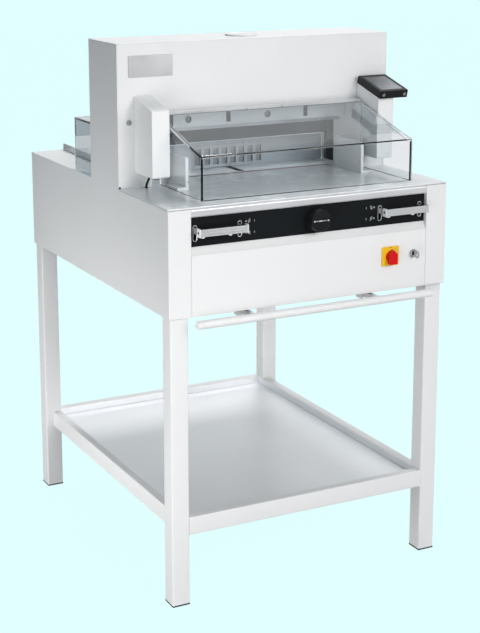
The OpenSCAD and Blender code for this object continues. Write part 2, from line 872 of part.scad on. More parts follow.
module front_panel() {
    section = [
        [0, base_z], [0, sill_z], [recess, strip_z], [strip_back, strip_z],
        [strip_back, strip_z - sheet], [sheet, sill_z - sheet], [sheet, base_z]
    ];
    in_row() color("whitesmoke")
        difference() {
            prism_x(section, [-strip_x, strip_x]);
            rod_y(switch_neck_r + gap, switch_x, [-lap, sheet + lap], switch_z);
            rod_y(lock_r + gap, lock_x, [-lap, sheet + lap], switch_z);
        }
}

module rear_panel() {
    vent_x = in_w / 2;
    in_row() color("whitesmoke")
        difference() {
            block([-in_w, in_w], [housing_d - sheet, housing_d], [base_z, deck_z]);
            for (x = [-vent_x, vent_x], i = [0:vent_count - 1])
                block([x - vent_w / 2, x + vent_w / 2], [housing_d - sheet - lap, housing_d + lap],
                    [base_z + vent_z + (i - vent_count / 2) * vent_pitch,
                     base_z + vent_z + (i - vent_count / 2) * vent_pitch + vent_h]);
            block([inlet_x - inlet_w / 2, inlet_x + inlet_w / 2], [housing_d - sheet - lap, housing_d + lap],
                [base_z + inlet_up - inlet_h / 2, base_z + inlet_up + inlet_h / 2]);
        }
}

module table_lip() {
    section = concat(
        [[lip_d, lip_z], [lip_d, deck_z]],
        arc([lip_r, deck_z - lip_r], lip_r, 90, 180, 8),
        arc([lip_r, lip_z + lip_r], lip_r, 180, 270, 8)
    );
    in_row() color("gainsboro") prism_x(section, [-strip_x, strip_x]);
}

// An upright slot with round ends, cut along y.
module strip_slot(x, ys) {
    r = strip_slot_w / 2;
    z0 = strip_z + strip_slot_up + r;
    z1 = strip_z + strip_slot_up + strip_slot_h - r;
    block([x - r, x + r], ys, [z0, z1]);
    rod_y(r, x, ys, z0);
    rod_y(r, x, ys, z1);
}

module control_fascia() {
    cut = [recess - lap, strip_back + lap];
    in_row() color("#1e2225")
        difference() {
            block([-strip_x, strip_x], [recess, strip_back], [strip_z, lip_z]);
            for (side = [-1, 1], x = bar_arm_xs) strip_slot(side * bar_x + x, cut);
            rod_y(dial_shaft_r + run, dial_x, cut, dial_z);
        }
}

module table_bed() {
    in_row() color("slategray")
        difference() {
            union() {
                block([-in_w, in_w], [lip_d, frame_y], [bed_z, deck_z]);
                block([-column_x, column_x], [lip_d, bed_back], [bed_z, deck_z]);
                for (x = [-bed_rail_x, bed_rail_x])
                    block([x - bed_rail_w / 2, x + bed_rail_w / 2], [lip_d, housing_d - sheet],
                        [bed_z, deck_z]);
                for (side = [-1, 1], x = bar_arm_xs)
                    let (lug_x = side * bar_x + x + sign(x) * (bar_arm_t / 2 + side_gap + lug_t / 2))
                    block([lug_x - lug_t / 2, lug_x + lug_t / 2],
                        [bar_pivot_y - lug_d / 2, bar_pivot_y + lug_d / 2], [bar_z - lug_d / 2, deck_z]);
            }
            block([-stick_l / 2, stick_l / 2], [stick_y, stick_y + stick_w], [table_h - stick_w, table_h]);
            for (side = [-1, 1])
                rod_x(bar_shaft_r + run, [side * bar_x - bar_shaft_l, side * bar_x + bar_shaft_l],
                    bar_pivot_y, bar_z);
        }
}

module front_table() {
    in_row() color("lightsteelblue")
        difference() {
            union() {
                block([-half_w, half_w], [sheet, tower_y], [deck_z, table_h]);
                block([-throat_x, throat_x], [sheet, stick_y + stick_w], [deck_z, table_h]);
            }
            block([-stick_l / 2, stick_l / 2], [stick_y, stick_y + 2 * stick_w],
                [deck_z - lap, table_h + lap]);
        }
}

module rear_table() {
    y0 = stick_y + stick_w;
    slot_end = rear_bearing_y + neck_gap;
    in_row() color("lightsteelblue") {
        difference() {
            union() {
                block([-throat_x, throat_x], [y0, tower_back - sheet], [deck_z, table_h]);
                block([-deck_x, deck_x], [y0, housing_d], [deck_z, table_h]);
            }
            block([-slot_w / 2, slot_w / 2], [table_slot_y, slot_end], [deck_z - lap, table_h + lap]);
        }
        for (x = [-deck_x, deck_x - rim_t])
            block([x, x + rim_t], [tower_back + rim_end, housing_d - rim_end], [deck_z, table_h + rim_h]);
    }
}

module cutting_stick() {
    in_row() color("firebrick")
        block([-stick_l / 2, stick_l / 2], [stick_y, stick_y + stick_w], [table_h - stick_w, table_h]);
}

module portal_frame() {
    in_row() color("darkgray") {
        for (side = [0, 1])
            mirror([side, 0, 0]) {
                block([column_in, in_w], [frame_y, frame_back_y], [base_top, head_top]);
                block([column_x, in_w], [frame_y, frame_y + web_t], [base_top, head_top]);
                block([column_x, in_w], [frame_back_y - web_t, frame_back_y], [base_top, head_top]);
            }
        block([-in_w, in_w], [frame_y, block_y], [head_z, head_top]);
        block([-in_w, in_w], [frame_back_y - head_rear_t, frame_back_y], [head_rear_z, head_top]);
    }
}

module portal_front_cover() {
    in_row() color("whitesmoke") {
        block([-in_w, in_w], [tower_y, tower_y + sheet], [cover_z, top_z]);
        for (side = [0, 1])
            mirror([side, 0, 0]) {
                block([throat_x, in_w], [tower_y, tower_y + sheet], [deck_z, top_z]);
                block([throat_x, throat_x + sheet], [tower_y, tower_y + lining_d],
                    [deck_z, cover_z + lining_rise]);
            }
    }
}

module portal_rear_cover() {
    in_row() color("whitesmoke") {
        block([-in_w, in_w], [tower_back - sheet, tower_back], [table_h + rear_open_h, top_z]);
        for (side = [0, 1])
            mirror([side, 0, 0])
                block([throat_x, in_w], [tower_back - sheet, tower_back], [deck_z, top_z]);
    }
}

module portal_top_cover() {
    in_row() color("whitesmoke")
        difference() {
            block([-half_w, half_w], [tower_y, tower_back], [top_z, tower_z]);
            rod_z(cap_plug_d / 2 + gap, 0, tower_y + tower_d / 2, [top_z - lap, tower_z + lap]);
        }
}

module top_cap() {
    edge = 1;
    in_row() color("whitesmoke") {
        translate([0, tower_y + tower_d / 2, tower_z])
            rotate_extrude()
                polygon([
                    [0, 0], [cap_d / 2, 0], [cap_d / 2, cap_h - edge],
                    [cap_d / 2 - edge, cap_h], [0, cap_h]
                ]);
        rod_z(cap_plug_d / 2, 0, tower_y + tower_d / 2, [top_z, tower_z]);
    }
}

module badge_plate() {
    in_row() color("silver")
        block([-half_w + badge_in, -half_w + badge_in + badge_w], [tower_y - badge_t, tower_y],
            [tower_z - badge_down - badge_h, tower_z - badge_down]);
}

// Head of a screw that points along -y, its seat at y = 0.
module screw_head(d, h) {
    socket = d / 2;
    difference() {
        rotate([90, 0, 0]) cylinder(d = d, h = h);
        translate([0, -h / 2, 0]) rotate([90, 0, 0]) cylinder(d = socket, h = h, $fn = 6);
    }
}

module cover_screws() {
    in_row() color("silver") {
        for (x = [-half_w + screw_in, half_w - screw_in])
            translate([x, tower_y, table_h + screw_up]) screw_head(screw_d, screw_h);
        on_display()
            for (x = [display_screw_in, display_w - display_screw_in])
                translate([x, -display_l, display_t / 2]) screw_head(display_screw_d, screw_h / 2);
    }
}

module knife_carrier() {
    xs = [carrier_x - carrier_l / 2, carrier_x + carrier_l / 2];
    ys = [carrier_y, blade_y];
    cut = [carrier_y - lap, blade_y + lap];
    in_row() color("silver") {
        difference() {
            union() {
                block(xs, ys, [carrier_z, carrier_top]);
                block([pull_x - eye_r, xs[0] + lap], ys, [arm_z, carrier_top]);
            }
            for (x = [-1, 1])
                slanted(carrier_x + x * block_pitch / 2, block_z, slot_w_all,
                    -slot_l_end / 2, stroke_l + slot_l_end / 2, cut);
            for (x = pocket_xs) rod_y(pocket_d / 2, x, cut, pocket_z);
            for (x = slit_xs)
                block([x - slit_w / 2, x + slit_w / 2], cut, [pocket_z - slit_h / 2, pocket_z + slit_h / 2]);
        }
        rod_y(pull_pin_r, pull_x, [pull_y - side_gap, carrier_y + lap], pull_z);
    }
}

module knife_blade() {
    section = [
        [blade_y, edge_z + bevel_h], [blade_y, edge_z + blade_h], [cut_y, edge_z + blade_h],
        [cut_y, edge_z], [cut_y - edge_t, edge_z]
    ];
    in_row() color("lightgray")
        prism_x(section, [carrier_x - carrier_l / 2 + blade_short, carrier_x + carrier_l / 2 - blade_short]);
}

module knife_bolts() {
    in_row() color("gray")
        for (x = pocket_xs) translate([x, blade_y, pocket_z]) screw_head(bolt_d, bolt_h);
}

module knife_guide_blocks() {
    in_row() color("dimgray")
        for (x = [-1, 1])
            slanted(carrier_x + x * block_pitch / 2, block_z, block_w, -block_l / 2, block_l / 2,
                [block_y, blade_y - gap]);
}

module knife_pull_rod() {
    ys = [pull_y, pull_y + pull_t];
    cut = [pull_y - lap, pull_y + pull_t + lap];
    shank = [pull_y + pull_t / 8, pull_y + 7 * pull_t / 8];
    tilt = asin((pull_x - pull_low_x) / pull_l);
    shank_x = 0.6 * eye_r;
    shank_end = 0.7 * eye_r;
    in_row() color("slategray")
        translate([pull_low_x, 0, pull_low_z]) rotate([0, tilt, 0])
            difference() {
                union() {
                    rod_y(eye_r, 0, ys, pull_l);
                    rod_y(eye_r, 0, ys, 0);
                    block([-shank_x, shank_x], shank, [shank_end, pull_l - shank_end]);
                }
                rod_y(pull_pin_r + run, 0, cut, pull_l);
                rod_y(pull_pin_r + open_gap, 0, cut, 0);
            }
}

module knife_piston_rod() {
    half = 1.15 * eye_r;
    low = pull_low_z - fork_drop;
    front = pull_y - side_gap / 2;
    back = pull_y + pull_t + side_gap / 2;
    cheeks = [[front - fork_t, front], [back, back + fork_t]];
    piston_z = knife_cyl_top - gland_t - piston_t - side_gap;
    in_row() color("silver") {
        for (ys = cheeks) block([pull_low_x - half, pull_low_x + half], ys, [low, low + fork_h]);
        block([pull_low_x - half, pull_low_x + half], [cheeks[0][0], cheeks[1][1]],
            [low, low + fork_t - side_gap]);
        rod_y(pull_pin_r, pull_low_x, [cheeks[0][0], cheeks[1][1]], pull_low_z);
        rod_z(knife_rod_r, pull_low_x, pull_mid_y, [piston_z, low + lap]);
        rod_z(knife_cyl_r - cyl_wall - run, pull_low_x, pull_mid_y, [piston_z, piston_z + piston_t]);
    }
}

// A closed cylinder on the bottom plate with a bore for its piston and rod.
module ram(x, y, r, rod_r, top) {
    difference() {
        rod_z(r, x, y, [base_top, top]);
        rod_z(r - cyl_wall, x, y, [base_top + cyl_wall, top - gland_t]);
        rod_z(rod_r + run, x, y, [top - gland_t - lap, top + lap]);
    }
}

module knife_cylinder() {
    in_row() color("steelblue") ram(pull_low_x, pull_mid_y, knife_cyl_r, knife_rod_r, knife_cyl_top);
}

module clamp_beam() {
    ys = [clamp_y, clamp_back_y];
    in_row() color("gray") {
        block([-clamp_l / 2, clamp_l / 2], ys, [clamp_z, clamp_top]);
        block([-tie_reach, tie_reach], ys, [clamp_top - clamp_arm_h, clamp_top]);
    }
}

module clamp_linkage() {
    piston_z = clamp_cyl_top - gland_t - piston_t - side_gap;
    in_row() color("slategray") {
        for (x = [-tie_x, tie_x]) rod_z(tie_r, x, clamp_mid_y, [yoke_z + lap, clamp_top - clamp_arm_h]);
        block([-tie_reach, tie_reach], [clamp_y, clamp_back_y], [yoke_z, yoke_top]);
        rod_z(clamp_rod_r, 0, clamp_mid_y, [piston_z, yoke_z + lap]);
        rod_z(clamp_cyl_r - cyl_wall - run, 0, clamp_mid_y, [piston_z, piston_z + piston_t]);
    }
}

module clamp_cylinder() {
    in_row() color("steelblue") ram(0, clamp_mid_y, clamp_cyl_r, clamp_rod_r, clamp_cyl_top);
}

module hydraulic_unit() {
    tank_y = tower_back + tank_back;
    tank_top = base_top + tank_h;
    motor_mid = tank_top + motor_r - lap;
    motor_y = tank_y + (tank_d - motor_l) / 2;
    in_row() color("steelblue") {
        block([tank_x - tank_w / 2, tank_x + tank_w / 2], [tank_y, tank_y + tank_d], [base_top, tank_top]);
        rod_y(motor_r, tank_x, [motor_y, motor_y + motor_l], motor_mid);
        for (y = [motor_y + motor_l / 4, motor_y + 3 * motor_l / 4])
            block([tank_x - motor_r, tank_x + motor_r], [y - motor_foot_w / 2, y + motor_foot_w / 2],
                [tank_top - lap, tank_top + motor_r / 2]);
    }
}

module backgauge_fence() {
    in_row() color("gainsboro")
        difference() {
            block([-fence_l / 2, fence_l / 2], [fence_y, nut_y], [fence_z, fence_z + fence_h]);
            for (i = [0:window_count - 1])
                let (x = (i - (window_count - 1) / 2) * window_pitch)
                block([x - window_w / 2, x + window_w / 2], [fence_y - lap, fence_y + fence_t / 2],
                    [fence_z + window_up, fence_z + window_up + window_h]);
        }
}

module backgauge_carriage() {
    nut_z = spindle_z - nut_h / 2;
    in_row() color("slategray")
        difference() {
            union() {
                block([-nut_w / 2, nut_w / 2], [nut_y, nut_y + nut_d], [nut_z, nut_z + nut_h]);
                block([-neck_w / 2, neck_w / 2], [nut_y, nut_y + nut_d], [nut_z, table_h + neck_up]);
                block([-foot_plate_w / 2, foot_plate_w / 2], [nut_y, nut_y + bearing_t],
                    [fence_z, fence_z + fence_h - foot_plate_drop]);
            }
            rod_y(spindle_r + run, 0, [nut_y - lap, nut_y + nut_d + lap], spindle_z);
            for (x = [-guide_x, guide_x])
                rod_y(guide_r + run, x, [nut_y - lap, nut_y + nut_d + lap], spindle_z);
        }
}

module backgauge_spindle() {
    end = belt_y + belt_w + lap;
    thread = [front_bearing_y + bearing_t + side_gap / 2, rear_bearing_y - side_gap / 2];
    in_row() color("silver") {
        rod_y(spindle_r, 0, thread, spindle_z);
        rod_y(journal_r, 0, [front_bearing_y + bearing_t / 4, end], spindle_z);
        rod_y(pulley_r, 0, [belt_y, belt_y + belt_w], spindle_z);
        rod_y(pulley_r + 1.4 * belt_t, 0, [belt_y - pulley_flange_t, belt_y - gap], spindle_z);
    }
}

module backgauge_guide_rods() {
    in_row() color("silver")
        for (x = [-guide_x, guide_x])
            rod_y(guide_r, x, [front_bearing_y + bearing_t, rear_bearing_y], spindle_z);
}

module backgauge_bearings() {
    low = spindle_z - nut_h / 2;
    motor_low = motor_z - 1.1 * gauge_motor_r;
    half = nut_w / 2;
    in_row() color("darkgray")
        difference() {
            union() {
                block([-half, half], [front_bearing_y, front_bearing_y + bearing_t], [low, deck_z]);
                block([-half, half], [rear_bearing_y, rear_bearing_y + bearing_t], [motor_low, deck_z]);
            }
            rod_y(journal_r + run, 0, [front_bearing_y + bearing_t / 6, rear_bearing_y + bearing_t + lap],
                spindle_z);
            rod_y(gauge_shaft_r + run, 0, [rear_bearing_y - lap, rear_bearing_y + bearing_t + lap], motor_z);
        }
}

module backgauge_motor() {
    in_row() color("dimgray")
        difference() {
            rod_y(gauge_motor_r, 0, [rear_bearing_y - gauge_motor_l, rear_bearing_y], motor_z);
            rod_y(gauge_shaft_r + run, 0, [rear_bearing_y - gauge_motor_l / 2, rear_bearing_y + lap],
                motor_z);
        }
}

module motor_pulley() {
    in_row() color("silver") {
        rod_y(gauge_shaft_r, 0, [rear_bearing_y - gauge_motor_l / 2 + side_gap, belt_y + belt_w + lap],
            motor_z);
        rod_y(pulley_r, 0, [belt_y, belt_y + belt_w], motor_z);
        rod_y(pulley_r + 1.4 * belt_t, 0, [belt_y - pulley_flange_t, belt_y - gap], motor_z);
    }
}

module drive_belt() {
    r_in = pulley_r + gap;
    r_out = r_in + belt_t;
    ys = [belt_y, belt_y + belt_w];
    cut = [belt_y - lap, belt_y + belt_w + lap];
    in_row() color("black")
        difference() {
            union() {
                rod_y(r_out, 0, ys, spindle_z);
                rod_y(r_out, 0, ys, motor_z);
                block([-r_out, r_out], ys, [motor_z, spindle_z]);
            }
            rod_y(r_in, 0, cut, spindle_z);
            rod_y(r_in, 0, cut, motor_z);
            block([-r_in, r_in], cut, [motor_z, spindle_z]);
        }
}

// Side outline of a hinge box, its walls moved inwards by a thickness.
function box_outline(front_top, inset, r = box_r, f = box_front_r) = concat(
    arc([tower_y - r, table_h + box_up + r], r - inset, 0, -90, 6),
    arc([box_front_y + f, table_h + box_up + f], f - inset, 270, 180, 6),
    arc([box_front_y + f, table_h + front_top - f], f - inset, 180, 100, 6),
    [[tower_y - inset, table_h + box_top - inset]]
);

// Left hinge box: a moulded shell that is open towards the tower.
module hinge_box(front_top) {
    x0 = -throat_x - box_w;
    difference() {
        prism_x(box_outline(front_top, 0), [x0, -throat_x]);
        translate([0, box_wall, 0])
            prism_x(box_outline(front_top, box_wall), [x0 + box_wall, -throat_x - box_wall]);
        rod_x(guard_pin_r + run, [-throat_x - box_wall - lap, -throat_x + lap], axis_y, axis_z);
    }
}

module hinge_box_left() {
    in_row() color("whitesmoke") hinge_box(box_front_left);
}

module hinge_box_right() {
    in_row() color("whitesmoke") mirror([1, 0, 0]) hinge_box(box_front_right);
}

module guard_pane() {
    inner = shifted(pane_path, pane_t);
    rear_y = tower_y - pane_rear;
    bends = [inner[1], inner[2], inner[3]];
    section = concat(pane_path, reversed(concat([at_y(inner[0], inner[1], pane_path[0][0])], bends)));
    side = concat([at_y(inner[0], inner[1], rear_y)], bends, [[rear_y, pane_z]]);
    in_row() color([0.75, 0.85, 0.9, 0.4]) {
        prism_x(section, [-pane_x, pane_x]);
        for (x = [-pane_x, pane_x - pane_t]) prism_x(side, [x, x + pane_t]);
    }
}

module guard_rail() {
    pin_out = throat_x + 2 * box_wall;
    in_row() color("silver") {
        block([-pane_x, pane_x], [axis_y - rail_d / 2, axis_y + rail_d / 2],
            [axis_z - rail_t / 2, axis_z + rail_t / 2]);
        rod_x(guard_pin_r, [-pin_out, pin_out], axis_y, axis_z);
    }
}

// Moves its children onto the sloped top of the right hinge box: x from the display's left
// side, y down the slope as a negative value, z square to the slope.
module on_display() {
    translate([display_x, tower_y, table_h + box_top])
        rotate([display_tilt, 0, 0])
            translate([0, -display_off, 0]) children();
}

module display_housing() {
    in_row() color("#22262a")
        on_display()
            difference() {
                block([0, display_w], [-display_l, 0], [0, display_t]);
                block([screen_border, display_w - screen_border], [-display_l + screen_end, -screen_end],
                    [display_t - screen_t, display_t + lap]);
            }
}

module display_screen() {
    in_row() color("slategray")
        on_display()
            block([screen_border + gap, display_w - screen_border - gap],
                [-display_l + screen_end + gap, -screen_end - gap], [display_t - screen_t, display_t - gap]);
}

module side_lays() {
    y1 = carrier_y - lay_gap;
    in_row() color("whitesmoke")
        for (side = [0, 1])
            let (x = lay_xs[side])
            mirror([side, 0, 0]) {
                block([x, x + lay_t], [lay_y, y1], [table_h, table_h + lay_h]);
                block([x, x + lay_t + lay_foot_w], [lay_y, lay_y + lay_foot_l],
                    [table_h, table_h + lay_foot_t]);
            }
}

module rear_guard() {
    x = half_w - cover_back_in;
    ys = [tower_back, tower_back + cover_back_d];
    top = table_h + cover_back_h;
    in_row() color([0.75, 0.85, 0.9, 0.4]) {
        for (s = [-x, x - pane_t]) block([s, s + pane_t], ys, [table_h, top]);
        block([-x, x], ys, [top - pane_t, top]);
        block([-x, x], [ys[1] - pane_t, ys[1]], [top - cover_back_lip, top]);
    }
}

module guard_cable() {
    in_row() color("black")
        rod_z(cable_r, -throat_x - box_w / 2, tower_y - box_d / 4, [table_h, table_h + box_up]);
}

module control_dial() {
    face = recess - gap - dial_l;
    profile = concat(
        [[0, 0], [dial_r, 0]],
        arc([dial_face_r - dial_round, dial_l - dial_round], dial_round, 0, 90, 6),
        [[0, dial_l]]
    );
    in_row() color("#1e2225") {
        translate([dial_x, face + dial_l, dial_z])
            rotate([90, 0, 0]) rotate_extrude() polygon(profile);
        rod_y(dial_shaft_r, dial_x, [face + dial_l - lap, strip_back + unit_d / 2], dial_z);
    }
}

module control_unit() {
    in_row() color("dimgray")
        difference() {
            block([-unit_x, unit_x], [strip_back, strip_back + unit_d],
                [strip_z + unit_margin, bed_z - unit_margin]);
            rod_y(dial_shaft_r + run, dial_x, [strip_back - lap, strip_back + unit_d / 2 + side_gap],
                dial_z);
        }
}

// Two-hand bar with its arms and turning shaft, drawn about x = 0.
module activation_bar() {
    ys = [-bar_out, -bar_out + bar_d];
    union() {
        block([-bar_l / 2, bar_l / 2], ys, [bar_z - bar_h / 2, bar_z + bar_h / 2]);
        for (x = bar_arm_xs)
            block([x - bar_arm_t / 2, x + bar_arm_t / 2], [ys[1] - lap, bar_pivot_y],
                [bar_z - bar_arm_h / 2, bar_z + bar_arm_h / 2]);
        rod_x(bar_shaft_r, [-bar_shaft_l / 2, bar_shaft_l / 2], bar_pivot_y, bar_z);
    }
}

module activation_bar_left() {
    in_row() color("lightgray") translate([-bar_x, 0, 0]) activation_bar();
}

module activation_bar_right() {
    in_row() color("lightgray") translate([bar_x, 0, 0]) activation_bar();
}

module main_switch() {
    in_row() color("gold")
        difference() {
            union() {
                block([switch_x - switch_w / 2, switch_x + switch_w / 2], [-switch_t, 0],
                    [switch_z - switch_w / 2, switch_z + switch_w / 2]);
                rod_y(switch_neck_r, switch_x, [-lap, switch_d], switch_z);
                block([switch_x - switch_w / 2, switch_x + switch_w / 2], [sheet, switch_d],
                    [switch_z - switch_w / 2, switch_z + switch_w / 2]);
            }
            rod_y(handle_shaft_r + run, switch_x, [-switch_t - lap, switch_d / 2], switch_z);
        }
}

module switch_handle() {
    back = -switch_t - gap;
    half = handle_w / 2;
    grip = [
        [-half, -handle_l / 2], [half, -handle_l / 2], [half, handle_l / 2 - half],
        [0, handle_l / 2], [-half, handle_l / 2 - half]
    ];
    in_row() color("red") {
        rod_y(handle_r, switch_x, [back - handle_disc_t, back], switch_z);
        translate([switch_x, back - lap, switch_z]) rotate([90, 0, 0])
            linear_extrude(handle_out - lap) polygon(grip);
        rod_y(handle_shaft_r, switch_x, [back - lap, switch_d / 2 - side_gap], switch_z);
    }
}

module key_lock() {
    in_row() color("silver")
        difference() {
            union() {
                rod_y(lock_collar_r, lock_x, [-lock_collar_t, 0], switch_z);
                rod_y(lock_r, lock_x, [-lap, lock_d], switch_z);
            }
            rod_y(plug_r + run, lock_x, [-lock_collar_t - lap, lock_d / 2], switch_z);
        }
}

module key() {
    bow_y = -lock_collar_t - key_bow_r - key_neck;
    in_row() color("silver") {
        rod_y(plug_r, lock_x, [-lock_collar_t, lock_d / 2 - side_gap], switch_z);
        block([lock_x - key_t / 2, lock_x + key_t / 2], [bow_y, -lock_collar_t + lap],
            [switch_z - key_h / 2, switch_z + key_h / 2]);
        rod_x(key_bow_r, [lock_x - key_t / 2, lock_x + key_t / 2], bow_y, switch_z);
    }
}

module knee_bar() {
    in_row() color("whitesmoke") {
        rod_x(knee_r, [-knee_l / 2, knee_l / 2], -knee_out, knee_z_mid);
        for (x = [-knee_arm_x, knee_arm_x]) {
            block([x - knee_arm_t / 2, x + knee_arm_t / 2], [-knee_out, knee_pivot_y],
                [knee_z_mid - knee_arm_h / 2, knee_z_mid + knee_arm_h / 2]);
            rod_x(knee_pin_r, [x - knee_pin_l / 2, x + knee_pin_l / 2], knee_pivot_y, knee_z_mid);
            rod_x(knee_arm_h / 2, [x - knee_arm_t / 2, x + knee_arm_t / 2], knee_pivot_y, knee_z_mid);
        }
    }
}

module mains_inlet() {
    z = base_z + inlet_up;
    back = housing_d - inlet_d + inlet_wall;
    half_x = inlet_w / 2 - inlet_wall;
    half_z = inlet_h / 2 - inlet_wall;
    in_row() color("black") {
        difference() {
            block([inlet_x - inlet_w / 2, inlet_x + inlet_w / 2], [housing_d - inlet_d, housing_d],
                [z - inlet_h / 2, z + inlet_h / 2]);
            block([inlet_x - half_x, inlet_x + half_x], [back, housing_d + lap], [z - half_z, z + half_z]);
        }
        for (x = [inlet_x - inlet_pitch, inlet_x, inlet_x + inlet_pitch])
            block([x - inlet_pin_w / 2, x + inlet_pin_w / 2], [back - lap, housing_d - inlet_wall],
                [z - inlet_pin_h / 2, z + inlet_pin_h / 2]);
    }
}

stand_legs();
foot_pads();
shelf_rails();
shelf_tray();
base_plate();
side_panel_left();
side_panel_right();
front_panel();
rear_panel();
table_lip();
control_fascia();
table_bed();
front_table();
rear_table();
cutting_stick();
portal_frame();
portal_front_cover();
portal_rear_cover();
portal_top_cover();
top_cap();
badge_plate();
cover_screws();
knife_carrier();
knife_blade();
knife_bolts();
knife_guide_blocks();
knife_pull_rod();
knife_piston_rod();
knife_cylinder();
clamp_beam();
clamp_linkage();
clamp_cylinder();
hydraulic_unit();
backgauge_fence();
backgauge_carriage();
backgauge_spindle();
backgauge_guide_rods();
backgauge_bearings();
backgauge_motor();
motor_pulley();
drive_belt();
hinge_box_left();
hinge_box_right();
guard_pane();
guard_rail();
display_housing();
display_screen();
side_lays();
rear_guard();
guard_cable();
control_dial();
control_unit();
activation_bar_left();
activation_bar_right();
main_switch();
switch_handle();
key_lock();
key();
knee_bar();
mains_inlet();
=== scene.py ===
"""Looks of a stack paper cutter on its stand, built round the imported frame, in metres."""

import math

import bmesh
import bpy
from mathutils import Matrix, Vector


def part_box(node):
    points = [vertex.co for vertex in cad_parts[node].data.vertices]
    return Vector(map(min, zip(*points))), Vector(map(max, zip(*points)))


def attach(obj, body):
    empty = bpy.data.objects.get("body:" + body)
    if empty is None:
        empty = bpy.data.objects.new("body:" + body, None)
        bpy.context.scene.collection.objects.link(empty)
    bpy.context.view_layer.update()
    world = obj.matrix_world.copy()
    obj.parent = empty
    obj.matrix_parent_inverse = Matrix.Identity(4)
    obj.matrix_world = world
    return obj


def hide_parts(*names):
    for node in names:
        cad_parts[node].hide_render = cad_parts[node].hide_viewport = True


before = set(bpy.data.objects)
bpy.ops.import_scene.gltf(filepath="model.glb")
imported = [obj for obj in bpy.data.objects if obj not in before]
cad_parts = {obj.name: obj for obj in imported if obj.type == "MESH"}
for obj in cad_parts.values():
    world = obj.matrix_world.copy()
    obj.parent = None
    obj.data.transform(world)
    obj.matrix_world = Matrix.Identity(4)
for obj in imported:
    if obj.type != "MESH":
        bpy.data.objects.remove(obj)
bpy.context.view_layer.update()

# Stand legs: four square steel tubes with rolled corners, welded under the bottom plate.
# They are sprayed with white powder and baked, which leaves a very fine orange peel.
MM = 0.001
leg_w = 45 * MM
leg_corner = 3.5 * MM
crease = math.radians(35)


def bent(points, radius, closed=False, steps=6):
    """A line of 2-D points whose corners are arcs, with one radius or a list of them."""
    most_of_side = 0.49
    line = [Vector(p) for p in points]
    if closed:
        line = [line[-1]] + line + [line[0]]
    radii = radius if isinstance(radius, list) else [radius] * (len(line) - 2)
    made = [] if closed else [line[0]]
    for before, corner, after, r in zip(line, line[1:], line[2:], radii):
        to_before = before - corner
        to_after = after - corner
        half = to_before.angle(to_after) / 2
        reach = min(r / math.tan(half), most_of_side * to_before.length, most_of_side * to_after.length)
        to_before.normalize()
        to_after.normalize()
        centre = corner + (to_before + to_after).normalized() * reach / math.cos(half)
        start = corner + to_before * reach - centre
        end = corner + to_after * reach - centre
        turn = start.angle(end)
        for i in range(steps + 1):
            t = i / steps
            spoke = start * math.sin((1 - t) * turn) + end * math.sin(t * turn)
            made.append(centre + spoke / math.sin(turn))
    return made if closed else made + [line[-1]]


def rectangle(x0, x1, y0, y1):
    """The four corners of a rectangle, in turn."""
    return [(x0, y0), (x1, y0), (x1, y1), (x0, y1)]


def prism(shape, outline, axis, start, end):
    """Adds an outline drawn out along an axis; its points give the other two coordinates in order."""
    def place(point, t):
        return {"x": (t, *point), "y": (point[0], t, point[1]), "z": (*point, t)}[axis]

    first, last = ([shape.verts.new(place(p, t)) for p in outline] for t in (start, end))
    faces = [shape.faces.new(first), shape.faces.new(last)]
    for i, corner in enumerate(first):
        j = (i + 1) % len(first)
        faces.append(shape.faces.new((corner, first[j], last[j], last[i])))
    return faces


def make_piece(name, shape, finishes, body, slot, *nodes):
    """A piece from a bmesh: dressed, riding on a body, in the place of the nodes that are named."""
    bmesh.ops.recalc_face_normals(shape, faces=shape.faces)
    mesh = bpy.data.meshes.new(name)
    shape.to_mesh(mesh)
    shape.free()
    for leftover in [a for a in mesh.attributes if a.name == "custom_normal"]:
        mesh.attributes.remove(leftover)
    mesh.shade_smooth()
    mesh.set_sharp_from_angle(angle=crease)
    for material in finishes if isinstance(finishes, list) else [finishes]:
        mesh.materials.append(material)
    made = bpy.data.objects.new(name, mesh)
    bpy.context.scene.collection.objects.link(made)
    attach(made, body)
    if nodes:
        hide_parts(*nodes)
    return made


def add(tree, kind, inputs, **settings):
    """Adds a shader node; an input is given a plain value or the socket that feeds it."""
    made = tree.nodes.new("ShaderNode" + kind)
    for name, value in settings.items():
        setattr(made, name, value)
    for name, value in inputs.items():
        if isinstance(value, bpy.types.NodeSocket):
            tree.links.new(value, made.inputs[name])
        else:
            made.inputs[name].default_value = value
    return made


def mixed(tree, factor, first, second):
    """A colour between two colours, by the colour sockets of a Mix node."""
    made = add(tree, "Mix", {"Factor": factor, 6: first, 7: second}, data_type="RGBA")
    return made.outputs[2]


def new_group(name, inputs, outputs):
    """An empty shader group: its tree, its input sockets and its output node."""
    tree = bpy.data.node_groups.new(name, "ShaderNodeTree")
    kinds = {"Pale": "Color", "Deep": "Color", "Color": "Color", "Normal": "Vector", "Stretch": "Vector"}
    for direction, names in (("INPUT", inputs), ("OUTPUT", outputs)):
        for label in names:
            kind = "NodeSocket" + kinds.get(label, "Float")
            tree.interface.new_socket(label, in_out=direction, socket_type=kind)
    return tree, tree.nodes.new("NodeGroupInput").outputs, tree.nodes.new("NodeGroupOutput")


def put_out(tree, out, **sockets):
    """Links sockets to a group's outputs of the same names, and hands the group on."""
    for name, socket in sockets.items():
        tree.links.new(socket, out.inputs[name])
    return tree


